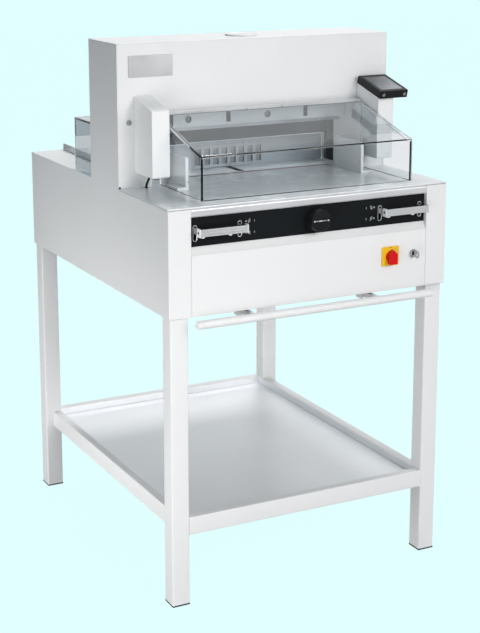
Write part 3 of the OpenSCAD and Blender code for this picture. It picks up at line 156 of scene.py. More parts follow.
def grained_group():
    """A skin with a soft drift of colour, and a fine grain that moves roughness and height."""
    tree, given, out = new_group(
        "grained", ["Pale", "Deep", "Gloss", "Matt", "Size", "Depth"], ["Color", "Roughness", "Normal"])
    place = add(tree, "TexCoord", {}).outputs["Object"]
    drift = add(tree, "TexNoise", {"Vector": place, "Scale": 5.0, "Detail": 4.0}).outputs["Fac"]
    grain = add(tree, "TexNoise", {"Vector": place, "Scale": given["Size"], "Detail": 2.0}).outputs["Fac"]
    both = add(tree, "Math", {0: drift, 1: grain}, operation="MULTIPLY").outputs[0]
    spread = add(tree, "MapRange", {"Value": both, "From Min": 0.1, "From Max": 0.4}).outputs["Result"]
    rough = add(tree, "MapRange", {"Value": grain, "From Min": 0.3, "From Max": 0.7,
                                   "To Min": given["Gloss"], "To Max": given["Matt"]}).outputs["Result"]
    relief = {"Strength": given["Depth"], "Distance": 0.3 * MM, "Height": grain}
    bump = add(tree, "Bump", relief).outputs["Normal"]
    colour = mixed(tree, spread, given["Deep"], given["Pale"])
    return put_out(tree, out, Color=colour, Roughness=rough, Normal=bump)


def finish(name, group, values, plain):
    """A material: a group's outputs feed the shader, and what is the same all over is set on it."""
    made = bpy.data.materials.new(name)
    made.use_nodes = True
    tree = made.node_tree
    shader = tree.nodes["Principled BSDF"]
    surface = tree.nodes.new("ShaderNodeGroup")
    surface.node_tree = group
    for label, value in values.items():
        surface.inputs[label].default_value = value
    for output in surface.outputs:
        socket = "Base Color" if output.name == "Color" else output.name
        tree.links.new(output, shader.inputs[socket])
    for label, value in plain.items():
        shader.inputs[label].default_value = value
    return made


grained_skin = grained_group()


def grained(name, pale, deep, gloss, matt, size, depth, specular=0.5, metallic=0.0):
    """A finish with a fine grain, such as paint, moulded plastic or plated metal."""
    values = {"Pale": (*pale, 1), "Deep": (*deep, 1), "Gloss": gloss, "Matt": matt,
              "Size": size, "Depth": depth}
    return finish(name, grained_skin, values, {"Specular IOR Level": specular, "Metallic": metallic})


white_coat = grained(
    "white_coat", pale=(0.80, 0.805, 0.81), deep=(0.77, 0.775, 0.78), gloss=0.36, matt=0.46,
    size=900, depth=0.06, specular=0.45)
legs_low, legs_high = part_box("stand_legs")
legs = bmesh.new()
for x in (legs_low.x, legs_high.x - leg_w):
    for y in (legs_low.y, legs_high.y - leg_w):
        tube = bent(rectangle(x, x + leg_w, y, y + leg_w), leg_corner, closed=True)
        prism(legs, tube, "z", legs_low.z, legs_high.z)
make_piece("leg_tubes", legs, white_coat, "machine", "white_coat", "stand_legs")

# Foot pads: black polythene caps pushed into the open ends of the tubes.
# The visible plate under each leg is moulded with a soft edge.
# The same black also serves as painted shade for the relief disc, the badge rim and the strip under the
# guard rail.
pad_black = grained(
    "pad_black", pale=(0.022, 0.023, 0.025), deep=(0.014, 0.015, 0.016), gloss=0.5, matt=0.68,
    size=700, depth=0.15, specular=0.4)
same_point = 0.001 * MM
same_plane = math.radians(0.5)


def copy_of(node):
    """A node's solid as a bmesh, its triangles joined back into flat faces."""
    shape = bmesh.new()
    shape.from_mesh(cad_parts[node].data)
    bmesh.ops.remove_doubles(shape, verts=shape.verts, dist=same_point)
    bmesh.ops.dissolve_limit(shape, angle_limit=same_plane, verts=shape.verts, edges=shape.edges)
    return shape


def soften(made, edge):
    """Rounds a piece's sharp edges and keeps its flat faces flat."""
    for line in made.data.edges:
        line.use_edge_sharp = False
    bevel = made.modifiers.new("rounded_edges", "BEVEL")
    bevel.width = edge
    bevel.segments = 3
    bevel.limit_method = "ANGLE"
    bevel.angle_limit = crease
    made.modifiers.new("flat_faces", "WEIGHTED_NORMAL")
    return made


def soft_copy(name, node, finishes, body, slot, edge):
    """A piece in the place of a node: the node's own solid with its sharp edges rounded."""
    return soften(make_piece(name, copy_of(node), finishes, body, slot, node), edge)


soft_copy("foot_caps", "foot_pads", pad_black, "machine", "pad_black", edge=0.8 * MM)

# Shelf rails: four rectangular steel tubes between the legs, coated with the stand.
# A welder's bead runs along each end where a rail meets its leg.
rail_w = 22 * MM
rail_corner = 2.5 * MM
bead_r = 1.6 * MM
bead_pitch = 2.4 * MM
bead_ripple = 0.2
ripple_steps = 4


def circle(centre, r, side, up, steps):
    """Points round a centre, in the plane of two directions."""
    turns = [2 * math.pi * k / steps for k in range(steps)]
    return [centre + r * (math.cos(a) * side + math.sin(a) * up) for a in turns]


def sweep(shape, path, radii, sides=8, closed=False):
    """Adds a round bar along a path of points, with one radius or a list of them."""
    path = [Vector(p) for p in path]
    radii = radii if isinstance(radii, list) else [radii] * len(path)
    count = len(path)
    rings = []
    side = None
    for i, point in enumerate(path):
        before = path[i - 1] if closed or i > 0 else point
        after = path[(i + 1) % count] if closed or i < count - 1 else point
        along = (after - before).normalized()
        side = along.orthogonal() if side is None else side - along * side.dot(along)
        side.normalize()
        up = along.cross(side)
        rings.append([shape.verts.new(p) for p in circle(point, radii[i], side, up, sides)])
    for i in range(count if closed else count - 1):
        ring, following = rings[i], rings[(i + 1) % count]
        for k in range(sides):
            n = (k + 1) % sides
            shape.faces.new((ring[k], ring[n], following[n], following[k]))
    if not closed:
        shape.faces.new(rings[0])
        shape.faces.new(rings[-1])


def weld_bead(shape, start, end):
    """Adds a bead whose ripples follow one another along a straight seam."""
    start, end = Vector(start), Vector(end)
    steps = ripple_steps * max(2, round((end - start).length / bead_pitch))
    path = [start.lerp(end, i / steps) for i in range(steps + 1)]
    waves = [abs(math.sin(math.pi * i / ripple_steps)) for i in range(steps + 1)]
    sweep(shape, path, [bead_r * (1 - bead_ripple + bead_ripple * wave) for wave in waves])


rails_low, rails_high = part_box("shelf_rails")
leg_in = legs_high.x - leg_w
side_ends = (legs_low.y + leg_w, legs_high.y - leg_w)
rails = bmesh.new()
beads = bmesh.new()
for y in (rails_low.y, rails_high.y - rail_w):
    tube = bent(rectangle(y, y + rail_w, rails_low.z, rails_high.z), rail_corner, closed=True)
    prism(rails, tube, "x", -leg_in, leg_in)
    for x in (-leg_in, leg_in):
        for z in (rails_high.z, rails_low.z):
            weld_bead(beads, (x, y + rail_corner, z), (x, y + rail_w - rail_corner, z))
for x in (rails_low.x, rails_high.x - rail_w):
    tube = bent(rectangle(x, x + rail_w, rails_low.z, rails_high.z), rail_corner, closed=True)
    prism(rails, tube, "y", *side_ends)
    for y in side_ends:
        for z in (rails_high.z, rails_low.z):
            weld_bead(beads, (x + rail_corner, y, z), (x + rail_w - rail_corner, y, z))
make_piece("shelf_tubes", rails, white_coat, "machine", "white_coat", "shelf_rails")
make_piece("shelf_welds", beads, white_coat, "machine", "white_coat")

# Shelf tray: one sheet folded up on four sides and let in between the rails.
# It is coated in a silver grey with a fine metal flake.
tray_grey = grained(
    "tray_grey", pale=(0.92, 0.94, 0.96), deep=(0.87, 0.89, 0.91), gloss=0.32, matt=0.44,
    size=1400, depth=0.08, metallic=0.7)
soft_copy("tray_sheet", "shelf_tray", tray_grey, "machine", "tray_grey", edge=0.9 * MM)

# Bottom plate: a thick dark plate that carries the whole machine, with lugs for the front bar.
# It is primed and sprayed dark grey; the lugs under it are coated white with the bar.
plate_dark = grained(
    "plate_dark", pale=(0.12, 0.125, 0.13), deep=(0.085, 0.09, 0.095), gloss=0.45, matt=0.62,
    size=500, depth=0.2, specular=0.4)
bottom = copy_of("base_plate")
for face in bottom.faces:
    face.material_index = int(face.calc_center_median().z < legs_high.z - MM)
made = make_piece("bottom_plate", bottom, [plate_dark, white_coat], "machine", "plate_dark", "base_plate")
soften(made, edge=1 * MM)

# Housing panels: folded steel sheets, coated white like the stand and screwed on from inside.
# Each side sheet runs up over the tower; front and rear sheets sit between the sides.
# The front sheet's sill gets a darker coat as painted shade, and a black disc is painted shade for the
# relief hole where the left sheet's folds meet.
fold_edge = 0.9 * MM
sill_slant = 0.3
relief_r = 3.2 * MM
relief_proud = 0.15 * MM
relief_depth = 1 * MM
table_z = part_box("front_table")[1].z
tower_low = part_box("portal_front_cover")[0]
# Painted shade: a darker copy of the white coat for the sill faces, which face up and forward.
sill_painted_shade = grained(
    "sill_painted_shade", pale=(0.69, 0.695, 0.70), deep=(0.66, 0.665, 0.67), gloss=0.36, matt=0.46,
    size=900, depth=0.06, specular=0.4)
for node in ("side_panel_left", "side_panel_right", "rear_panel"):
    soft_copy(node + "_sheet", node, white_coat, "machine", "white_coat", fold_edge)
front = copy_of("front_panel")
for face in front.faces:
    face.material_index = int(face.normal.y < -sill_slant and face.normal.z > sill_slant)
coats = [white_coat, sill_painted_shade]
soften(make_piece("front_panel_sheet", front, coats, "machine", "white_coat", "front_panel"), fold_edge)


def turned(shape, profile, centre, axis, steps=48):
    """Adds a turned form from pairs of radius and distance along an axis."""
    along = Vector(axis)
    side = along.orthogonal().normalized()
    up = along.cross(side)
    rings = []
    for r, t in profile:
        middle = Vector(centre) + along * t
        if r > 0:
            rings.append([shape.verts.new(p) for p in circle(middle, r, side, up, steps)])
        else:
            rings.append([shape.verts.new(middle)] * steps)
    for ring, following in zip(rings, rings[1:]):
        for k in range(steps):
            n = (k + 1) % steps
            corners = []
            for corner in (ring[k], ring[n], following[n], following[k]):
                if corner not in corners:
                    corners.append(corner)
            shape.faces.new(corners)


# Painted shade: a thin black disc, standing just proud of the side sheet, stands for the dark inside the
# relief hole.
reliefs = bmesh.new()
relief = [(0, -relief_depth), (relief_r, -relief_depth), (relief_r, relief_proud), (0, relief_proud)]
relief_at = (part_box("side_panel_left")[0].x + relief_r, tower_low.y, table_z + relief_r / 2)
turned(reliefs, relief, relief_at, (0, -1, 0), steps=20)
make_piece("relief_painted_shade", reliefs, pad_black, "machine", "white_coat")

# Table lip: a drawn aluminium strip with round front edges under the front of the table.
# It is anodised silver, with the faint lines of the drawing die along it.
strokes_x = (5, 2200, 2200)


def brushed_group():
    """Bare metal with long fine strokes that move colour, roughness and height."""
    tree, given, out = new_group(
        "brushed", ["Pale", "Deep", "Gloss", "Matt", "Stretch", "Depth"], ["Color", "Roughness", "Normal"])
    place = add(tree, "TexCoord", {}).outputs["Object"]
    stretched = add(tree, "Mapping", {"Vector": place, "Scale": given["Stretch"]}).outputs["Vector"]
    streaks = {"Vector": stretched, "Scale": 1.0, "Detail": 5.0, "Roughness": 0.65}
    strokes = add(tree, "TexNoise", streaks).outputs["Fac"]
    drift = add(tree, "TexNoise", {"Vector": place, "Scale": 7.0, "Detail": 3.0}).outputs["Fac"]
    both = add(tree, "Math", {0: strokes, 1: drift}, operation="ADD").outputs[0]
    span = {"Value": both, "From Min": 0.7, "From Max": 1.3}
    spread = add(tree, "MapRange", span).outputs["Result"]
    gloss_span = {**span, "To Min": given["Gloss"], "To Max": given["Matt"]}
    rough = add(tree, "MapRange", gloss_span).outputs["Result"]
    relief = {"Strength": given["Depth"], "Distance": 0.1 * MM, "Height": strokes}
    bump = add(tree, "Bump", relief).outputs["Normal"]
    colour = mixed(tree, spread, given["Deep"], given["Pale"])
    return put_out(tree, out, Color=colour, Roughness=rough, Normal=bump)


brushed_skin = brushed_group()


def brushed(name, pale, deep, gloss, matt, stretch, depth, specular=0.5, metallic=0.0):
    """A finish with long strokes, such as ground, drawn or brushed stock."""
    values = {"Pale": (*pale, 1), "Deep": (*deep, 1), "Gloss": gloss, "Matt": matt,
              "Stretch": stretch, "Depth": depth}
    return finish(name, brushed_skin, values, {"Specular IOR Level": specular, "Metallic": metallic})


lip_aluminium = brushed(
    "lip_aluminium", pale=(0.80, 0.81, 0.825), deep=(0.70, 0.71, 0.73), gloss=0.3, matt=0.42,
    stretch=strokes_x, depth=0.1, metallic=0.6)
soft_copy("lip_strip", "table_lip", lip_aluminium, "machine", "lip_aluminium", edge=0.6 * MM)

# Bed and tables: ground steel plates screwed down on a cast bed, with fine lines along their length.
# The front plate ends in a rounded edge over the lip; the rear one has a slot for the backgauge.
table_edge = 1.2 * MM
table_steel = brushed(
    "table_steel", pale=(0.80, 0.815, 0.83), deep=(0.765, 0.78, 0.795), gloss=0.22, matt=0.3,
    stretch=strokes_x, depth=0.03, metallic=0.3)
frame_iron = grained(
    "frame_iron", pale=(0.10, 0.11, 0.12), deep=(0.07, 0.08, 0.09), gloss=0.5, matt=0.7,
    size=350, depth=0.5, specular=0.4)


def dress(material, *nodes):
    """Gives nodes that stay as they are a material."""
    for name in nodes:
        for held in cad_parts[name].material_slots:
            held.material = material


dress(frame_iron, "table_bed", "portal_frame")
for node in ("front_table", "rear_table"):
    made = soft_copy(node + "_plate", node, table_steel, "machine", "table_steel", table_edge)
    made.modifiers["rounded_edges"].loop_slide = False

# Cutting stick: a red plastic bar let into the table under the knife edge.
# It is sawn from extruded stock, so its faces carry faint lines.
stick_red = brushed(
    "stick_red", pale=(0.13, 0.012, 0.02), deep=(0.09, 0.008, 0.014), gloss=0.45, matt=0.6,
    stretch=strokes_x, depth=0.2, specular=0.4)
soft_copy("stick_bar", "cutting_stick", stick_red, "machine", "stick_red", edge=0.4 * MM)

# Portal covers: white coated sheets over the cast portal, the front one folded back along the throat.
# The round cap in the top sheet is a pressed lid with a raised rim.
cap_rim = 5 * MM
cap_slope = 1 * MM
cap_sunk = 0.8 * MM
cap_round = 0.8 * MM
for node in ("portal_front_cover", "portal_rear_cover", "portal_top_cover"):
    soft_copy(node + "_sheet", node, white_coat, "machine", "white_coat", fold_edge)
low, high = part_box("top_cap")
cap_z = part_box("portal_top_cover")[1].z
cap_r = (high.x - low.x) / 2
cap_h = high.z - cap_z
cap_profile = [(0, 0), (cap_r, 0), (cap_r, cap_h), (cap_r - cap_rim, cap_h),
               (cap_r - cap_rim - cap_slope, cap_h - cap_sunk), (0, cap_h - cap_sunk)]
cap_at = ((low.x + high.x) / 2, (low.y + high.y) / 2, cap_z)
cap = bmesh.new()
turned(cap, bent(cap_profile, cap_round, steps=3), cap_at, (0, 0, 1))
make_piece("cap_lid", cap, white_coat, "machine", "white_coat", "top_cap")

# Badge plate: a bare aluminium plate glued to the tower; its rim faces are painted black as shade along its
# edges.
# It is anodised, and its face is brushed along its length.
badge_corner = 2 * MM
badge_metal = brushed(
    "badge_metal", pale=(0.72, 0.73, 0.735), deep=(0.62, 0.63, 0.635), gloss=0.25, matt=0.4,
    stretch=strokes_x, depth=0.2, metallic=0.8)
low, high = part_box("badge_plate")
badge = bmesh.new()
badge_line = bent(rectangle(low.x, high.x, low.z, high.z), badge_corner, closed=True)
badge_faces = prism(badge, badge_line, "y", low.y, high.y)
# Painted shade: the rim faces get the black coat.
for rim in badge_faces[2:]:
    rim.material_index = 1
made = make_piece("badge_blank", badge, [badge_metal, pad_black], "machine", "badge_metal", "badge_plate")
soften(made, edge=0.4 * MM)

# Cover screws: zinc plated steel screws with socket heads.
# They hold the covers to the portal and close the display's case.
screw_steel = grained(
    "screw_steel", pale=(0.40, 0.41, 0.42), deep=(0.30, 0.31, 0.32), gloss=0.12, matt=0.22,
    size=1500, depth=0.05, metallic=0.95)
soft_copy("socket_screws", "cover_screws", screw_steel, "machine", "screw_steel", edge=0.4 * MM)

# Knife set: a milled carrier with round pockets and slots, the ground blade bolted to it,
# and the slanted guide blocks, pull rod and piston that draw it down.
carrier_rim = 3 * MM
pocket_depth = 0.3 * MM
strokes_z = (2200, 2200, 5)
carrier_steel = brushed(
    "carrier_steel", pale=(0.59, 0.625, 0.65), deep=(0.50, 0.535, 0.56), gloss=0.26, matt=0.4,
    stretch=strokes_x, depth=0.1, metallic=0.75)
blade_steel = brushed(
    "blade_steel", pale=(0.60, 0.63, 0.66), deep=(0.46, 0.49, 0.52), gloss=0.12, matt=0.25,
    stretch=strokes_z, depth=0.1, metallic=0.95)
rod_steel = brushed(
    "rod_steel", pale=(0.58, 0.6, 0.62), deep=(0.44, 0.46, 0.48), gloss=0.15, matt=0.3,
    stretch=strokes_z, depth=0.1, metallic=0.95)
# Painted shade: a near-black coat for the sunk faces of the carrier's pockets and slots.
pocket_painted_shade = grained(
    "pocket_painted_shade", pale=(0.035, 0.04, 0.045), deep=(0.02, 0.024, 0.028), gloss=0.5, matt=0.7,
    size=600, depth=0.1, specular=0.1)
low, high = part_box("knife_carrier")
carrier = copy_of("knife_carrier")
front_faces = [face for face in carrier.faces if face.normal.y < -0.9]
front_y = max(front_faces, key=lambda face: face.calc_area()).calc_center_median().y
# Painted shade: faces sunk inside the carrier's rim take the near-black coat.
for face in carrier.faces:
    spot = face.calc_center_median()
    within_x = low.x + carrier_rim < spot.x < high.x - carrier_rim
    within_z = low.z + carrier_rim < spot.z < high.z - carrier_rim
    sunk = spot.y > front_y + pocket_depth and face.normal.y < 0.5
    face.material_index = int(within_x and within_z and sunk)
coats = [carrier_steel, pocket_painted_shade]
soften(make_piece("carrier_bar", carrier, coats, "knife", "carrier_steel", "knife_carrier"), edge=0.5 * MM)
soft_copy("bolt_heads", "knife_bolts", screw_steel, "knife", "screw_steel", edge=0.4 * MM)
dress(blade_steel, "knife_blade")
dress(rod_steel, "knife_guide_blocks", "knife_pull_rod", "knife_piston_rod")

# Clamp: a dark cast beam that presses the stack, painted and left matt.
# Steel tie rods run down from it to a yoke on the clamp's piston.
clamp_dark = grained(
    "clamp_dark", pale=(0.032, 0.040, 0.046), deep=(0.022, 0.028, 0.033), gloss=0.5, matt=0.7,
    size=600, depth=0.2, specular=0.1)
soft_copy("clamp_bar", "clamp_beam", clamp_dark, "clamp", "clamp_dark", edge=1 * MM)
dress(rod_steel, "clamp_linkage")

# Hydraulics: two steel cylinders and a sheet steel tank with the pump motor on it.
# They are painted blue and bolted inside the housing.
ram_blue = grained(
    "ram_blue", pale=(0.10, 0.17, 0.27), deep=(0.07, 0.12, 0.2), gloss=0.35, matt=0.5,
    size=500, depth=0.15, specular=0.5)
dress(ram_blue, "knife_cylinder", "clamp_cylinder", "hydraulic_unit")

# Backgauge: an aluminium fence with comb windows on a carriage that a spindle draws along.
# The spindle runs in cast bearing blocks and a belt from a small motor turns it.
fence_metal = brushed(
    "fence_metal", pale=(0.42, 0.46, 0.50), deep=(0.36, 0.40, 0.435), gloss=0.3, matt=0.42,
    stretch=strokes_x, depth=0.1, metallic=0.35)
# Painted light and shade: a pale copy of the fence metal for its top and end faces, a dark copy for the
# window floors.
fence_painted_light = brushed(
    "fence_painted_light", pale=(0.82, 0.835, 0.85), deep=(0.74, 0.755, 0.77), gloss=0.3, matt=0.42,
    stretch=strokes_x, depth=0.1, metallic=0.2)
fence_painted_shade = brushed(
    "fence_painted_shade", pale=(0.27, 0.29, 0.305), deep=(0.22, 0.24, 0.255), gloss=0.35, matt=0.5,
    stretch=strokes_z, depth=0.1, metallic=0.3)
motor_black = grained(
    "motor_black", pale=(0.035, 0.037, 0.04), deep=(0.02, 0.022, 0.025), gloss=0.35, matt=0.5,
    size=600, depth=0.15, specular=0.45)
belt_rubber = grained(
    "belt_rubber", pale=(0.03, 0.03, 0.03), deep=(0.018, 0.018, 0.018), gloss=0.6, matt=0.8,
    size=900, depth=0.2, specular=0.35)
low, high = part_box("backgauge_fence")
fence = copy_of("backgauge_fence")
# Painted light and shade: window floors take the dark copy, top and end faces the pale copy.
for face in fence.faces:
    spot = face.calc_center_median()
    sunk = face.normal.y < -0.9 and low.y + MM < spot.y
    outermost = spot.z > high.z - MM or spot.x > high.x - MM or spot.x < low.x + MM
    face.material_index = 2 if sunk else int(abs(face.normal.y) < 0.1 and outermost)
coats = [fence_metal, fence_painted_light, fence_painted_shade]
soften(make_piece("fence_bar", fence, coats, "backgauge", "fence_metal", "backgauge_fence"), edge=0.6 * MM)
dress(frame_iron, "backgauge_carriage", "backgauge_bearings")
dress(rod_steel, "backgauge_spindle", "backgauge_guide_rods", "motor_pulley")
dress(motor_black, "backgauge_motor")
dress(belt_rubber, "drive_belt")

# Hinge boxes: white moulded covers on the tower front that hold the guard's pivot pins.
# Their tops slope down to a crisp front, their rear feet are round; the right one carries the display.
box_front_r = 4 * MM
box_foot_r = 10 * MM
box_edge = 1.8 * MM
top_drops = {"hinge_box_left": 26 * MM, "hinge_box_right": 28 * MM}
box_white = grained(
    "box_white", pale=(0.855, 0.86, 0.865), deep=(0.83, 0.835, 0.84), gloss=0.3, matt=0.42,
    size=1200, depth=0.06, specular=0.5)
for node, drop in top_drops.items():
    low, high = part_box(node)
    box_line = [(high.y, high.z), (low.y, high.z - drop), (low.y, low.z), (high.y, low.z),
                (high.y, low.z + 2 * box_foot_r)]
    moulded = bmesh.new()
    prism(moulded, bent(box_line, [box_front_r, box_front_r, box_foot_r]), "x", low.x, high.x)
    rims = [e for e in moulded.edges if e.calc_face_angle() > crease
            and not all(abs(v.co.y - high.y) < MM for v in e.verts)]
    bmesh.ops.bevel(moulded, geom=rims, offset=box_edge, segments=4, profile=0.5, affect="EDGES")
    made = make_piece(node + "_cover", moulded, box_white, "machine", "box_white", node)
    made.modifiers.new("flat_faces", "WEIGHTED_NORMAL").keep_sharp = True

# Guard sheet: one clear acrylic sheet bent twice over the front table, with side plates glued under it.
# Its lower edges are chamfered, and clear cement fills the two glued corners as a round bead.
pane_t = 5 * MM
pane_knee = 111 * MM
pane_bend_y = 62 * MM
pane_bend_h = 127 * MM
pane_rear = 36 * MM
bend_radii = [45 * MM, 7 * MM]
bend_steps = 6
glue_gap = 0.2 * MM
chamfer = 1.6 * MM
cement_r = 3 * MM
cement_tip_r = 0.3 * MM


def smeared_group():
    """Glossy clear surfaces: faint patches left by wiping, which move roughness only."""
    tree, given, out = new_group("smeared", ["Gloss", "Matt"], ["Roughness"])
    place = add(tree, "TexCoord", {}).outputs["Object"]
    patches = add(tree, "TexNoise", {"Vector": place, "Scale": 14.0, "Detail": 5.0}).outputs["Fac"]
    rough = add(tree, "MapRange", {"Value": patches, "From Min": 0.45, "From Max": 0.75,
                                   "To Min": given["Gloss"], "To Max": given["Matt"]}).outputs["Result"]
    return put_out(tree, out, Roughness=rough)


smeared = smeared_group()


def clear(name, tint, gloss, matt):
    """Clear acrylic that also lets the lamps' light through."""
    made = finish(name, smeared, {"Gloss": gloss, "Matt": matt},
                  {"Base Color": (*tint, 1), "Transmission Weight": 1.0, "IOR": 1.36})
    tree = made.node_tree
    film = add(tree, "BsdfTransparent", {"Color": (*tint, 1)})
    lamp_ray = add(tree, "LightPath", {}).outputs["Is Shadow Ray"]
    shaders = {0: lamp_ray, 1: tree.nodes["Principled BSDF"].outputs[0], 2: film.outputs[0]}
    both = add(tree, "MixShader", shaders)
    tree.links.new(both.outputs[0], tree.nodes["Material Output"].inputs["Surface"])
    return made


clear_acrylic = clear("clear_acrylic", (0.95, 0.972, 0.982), gloss=0.0, matt=0.03)
# Painted shade and highlight: a dark clear tint and a pale opaque coat on the edge faces stand for the dark
# and bright lines that light makes in acrylic edges.
acrylic_painted_dark_edge = clear("acrylic_painted_dark_edge", (0.20, 0.23, 0.28), gloss=0.04, matt=0.1)
painted_edge_highlight = grained(
    "painted_edge_highlight", pale=(0.80, 0.83, 0.85), deep=(0.66, 0.70, 0.73), gloss=0.3, matt=0.5,
    size=900, depth=0.1, specular=0.5)
pane_coats = [clear_acrylic, acrylic_painted_dark_edge, painted_edge_highlight]
shade_edge_index = 1
highlight_edge_index = 2
pane_low, pane_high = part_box("guard_pane")
pane_path = [Vector((pane_high.y, pane_high.z)), Vector((pane_low.y + pane_bend_y, table_z + pane_bend_h)),
             Vector((pane_low.y, table_z + pane_knee)), Vector((pane_low.y, pane_low.z))]


def shifted(path, d):
    """A path of 2-D points moved sideways, with mitred corners."""
    made = []
    for i, point in enumerate(path):
        a = (path[i] - path[i - 1] if i else path[1] - path[0]).normalized()
        b = (path[i + 1] - path[i] if i < len(path) - 1 else a).normalized()
        m, n = Vector((-a.y, a.x)), Vector((-b.y, b.x))
        made.append(point + d * (m + n) / (1 + m.dot(n)))
    return made


def pane_line(depth):
    """The sheet's bent line at a depth under its outer face, with no bend tighter than a millimetre."""
    return bent(shifted(pane_path, depth), [max(MM, r - depth) for r in bend_radii], steps=bend_steps)


outer = pane_line(0)
inner = pane_line(pane_t)
bend_end = 1 + bend_steps
toe = [Vector((pane_low.y, pane_low.z + chamfer)), Vector((pane_low.y + chamfer, pane_low.z))]
heel = [Vector((pane_low.y + pane_t - chamfer, pane_low.z)),
        Vector((pane_low.y + pane_t, pane_low.z + chamfer))]
pane = bmesh.new()
sheet_faces = prism(pane, outer[:-1] + toe + heel + inner[-2::-1], "x", pane_low.x, pane_high.x)
toe_face = sheet_faces[len(outer) + 1]
heel_face = sheet_faces[len(outer) + 3]
rear_face = sheet_faces[-1]
# Painted shade: the foot chamfers and the rear edge take the dark edge coat.
for rim in (toe_face, heel_face, rear_face):
    rim.material_index = shade_edge_index
# Painted highlight and shade: the upper part of each end is pale, the lower part dark on the left and pale
# on the right.
for side in sheet_faces[:2]:
    ends = [min(side.verts, key=lambda v: (v.co.yz - line[bend_end]).length) for line in (outer, inner)]
    halves = [side, bmesh.utils.face_split(side, *ends)[0]]
    halves.sort(key=lambda half: half.calc_center_median().z)
    halves[0].material_index = shade_edge_index if halves[0].calc_center_median().x < 0 else highlight_edge_index
    halves[1].material_index = highlight_edge_index

glued = pane_line(pane_t + glue_gap)
slope = (glued[1] - glued[0]).normalized()
rear_y = tower_low.y - pane_rear


def at_rear(start):
    """A point on the slope, moved along it to the side plates' rear edge."""
    return start + slope * (rear_y - start.x) / slope.x


plate_line = [at_rear(glued[0])] + glued[1:] + [Vector((rear_y, pane_low.z))]
# Painted shade and highlight: the left plate's sloped edges are dark, the right plate's pale; its other
# edges are dark.
for x, slope_coat in ((pane_low.x, shade_edge_index), (pane_high.x - pane_t, highlight_edge_index)):
    plate_faces = prism(pane, plate_line, "x", x, x + pane_t)
    for rim in plate_faces[2:]:
        rim.normal_update()
        sloped = 0.1 < abs(rim.normal.z) < 0.99
        rim.material_index = slope_coat if sloped else shade_edge_index
    foot = plate_faces[-2]
    long_edges = [e for e in foot.edges if abs(e.verts[0].co.x - e.verts[1].co.x) < MM]
    bmesh.ops.bevel(pane, geom=long_edges, offset=chamfer, segments=1, affect="EDGES", material=shade_edge_index)
make_piece("guard_sheet", pane, pane_coats, "guard", "clear_acrylic", "guard_pane")

cement_in = pane_t + glue_gap + cement_r
seam = pane_line(cement_in)
cement_line = [at_rear(seam[0])] + seam[1:bend_end + 2]
cement_radii = [cement_r] * (len(cement_line) - 1) + [cement_tip_r]
cement = bmesh.new()
for x in (pane_low.x + cement_in, pane_high.x - cement_in):
    sweep(cement, [(x, p.x, p.y) for p in cement_line], cement_radii, sides=12)
make_piece("guard_cement", cement, clear_acrylic, "guard", "clear_acrylic")

# Guard rail: a drawn aluminium strip with pivot pins, riveted along the guard's rear edge.
# A thin black strip under the rail is painted shade for the shadow gap between the rail and the sheet.
rivet_r = 2 * MM
rivet_rise = 0.8 * MM
rivet_xs = (-46 * MM, 54 * MM)
rivet_round = 0.4 * MM
shadow_strip_h = 1.8 * MM
shadow_strip_proud = 0.4 * MM
shadow_strip_round = 0.3 * MM
rail_aluminium = brushed(
    "rail_aluminium", pale=(0.78, 0.79, 0.80), deep=(0.66, 0.67, 0.69), gloss=0.25, matt=0.38,
    stretch=strokes_x, depth=0.1, metallic=0.7)
soft_copy("pivot_rail", "guard_rail", rail_aluminium, "guard", "rail_aluminium", edge=0.8 * MM)
rail_low, rail_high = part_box("guard_rail")
rivet = bent([(0, -MM), (rivet_r, -MM), (rivet_r, 0), (0, rivet_rise)], rivet_round, steps=3)
rivets = bmesh.new()
for x in rivet_xs:
    turned(rivets, rivet, (x, rail_low.y, (rail_low.z + rail_high.z) / 2), (0, -1, 0), steps=20)
make_piece("rail_rivets", rivets, screw_steel, "guard", "screw_steel")
# Painted shade: the black strip stands for the shadow gap under the rail.
shadow_strip_line = rectangle(rail_low.y - shadow_strip_proud, rail_low.y + MM, rail_low.z, rail_low.z + shadow_strip_h)
shadow_strip = bmesh.new()
prism(shadow_strip, bent(shadow_strip_line, shadow_strip_round, closed=True, steps=3), "x", pane_low.x, pane_high.x)
make_piece("rail_shadow_strip", shadow_strip, pad_black, "guard", "rail_aluminium")

# Guard cable: a short black lead from the left hinge box into the table, for the guard's switch.
# Its sheath is soft plastic, with a moulded sleeve where it enters the table.
cable_lean = 11 * MM
cable_steps = 16
sleeve_h = 3 * MM
sleeve_round = 0.6 * MM
cable_black = grained(
    "cable_black", pale=(0.03, 0.03, 0.032), deep=(0.018, 0.018, 0.02), gloss=0.45, matt=0.6,
    size=1100, depth=0.1, specular=0.4)
low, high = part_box("guard_cable")
cable_r = (high.x - low.x) / 2
middle = (low + high) / 2
cable_path = []
for i in range(cable_steps + 1):
    t = i / cable_steps
    y = middle.y + cable_lean * math.cos(math.pi * t)
    cable_path.append((middle.x, y, low.z + (high.z - low.z) * t))
sleeve = [(0, 0), (1.6 * cable_r, 0), (1.3 * cable_r, sleeve_h), (0, sleeve_h)]
cable = bmesh.new()
sweep(cable, cable_path, cable_r, sides=14)
turned(cable, bent(sleeve, sleeve_round, steps=3), cable_path[0], (0, 0, 1), steps=24)
make_piece("guard_lead", cable, cable_black, "machine", "cable_black", "guard_cable")

# Display: a black moulded case on the right hinge box with a grey liquid-crystal panel under glass.
# Two screws in its front hold the case together.
display_black = grained(
    "display_black", pale=(0.010, 0.012, 0.0135), deep=(0.007, 0.0085, 0.0095), gloss=0.35, matt=0.5,
    size=1300, depth=0.1, specular=0.2)


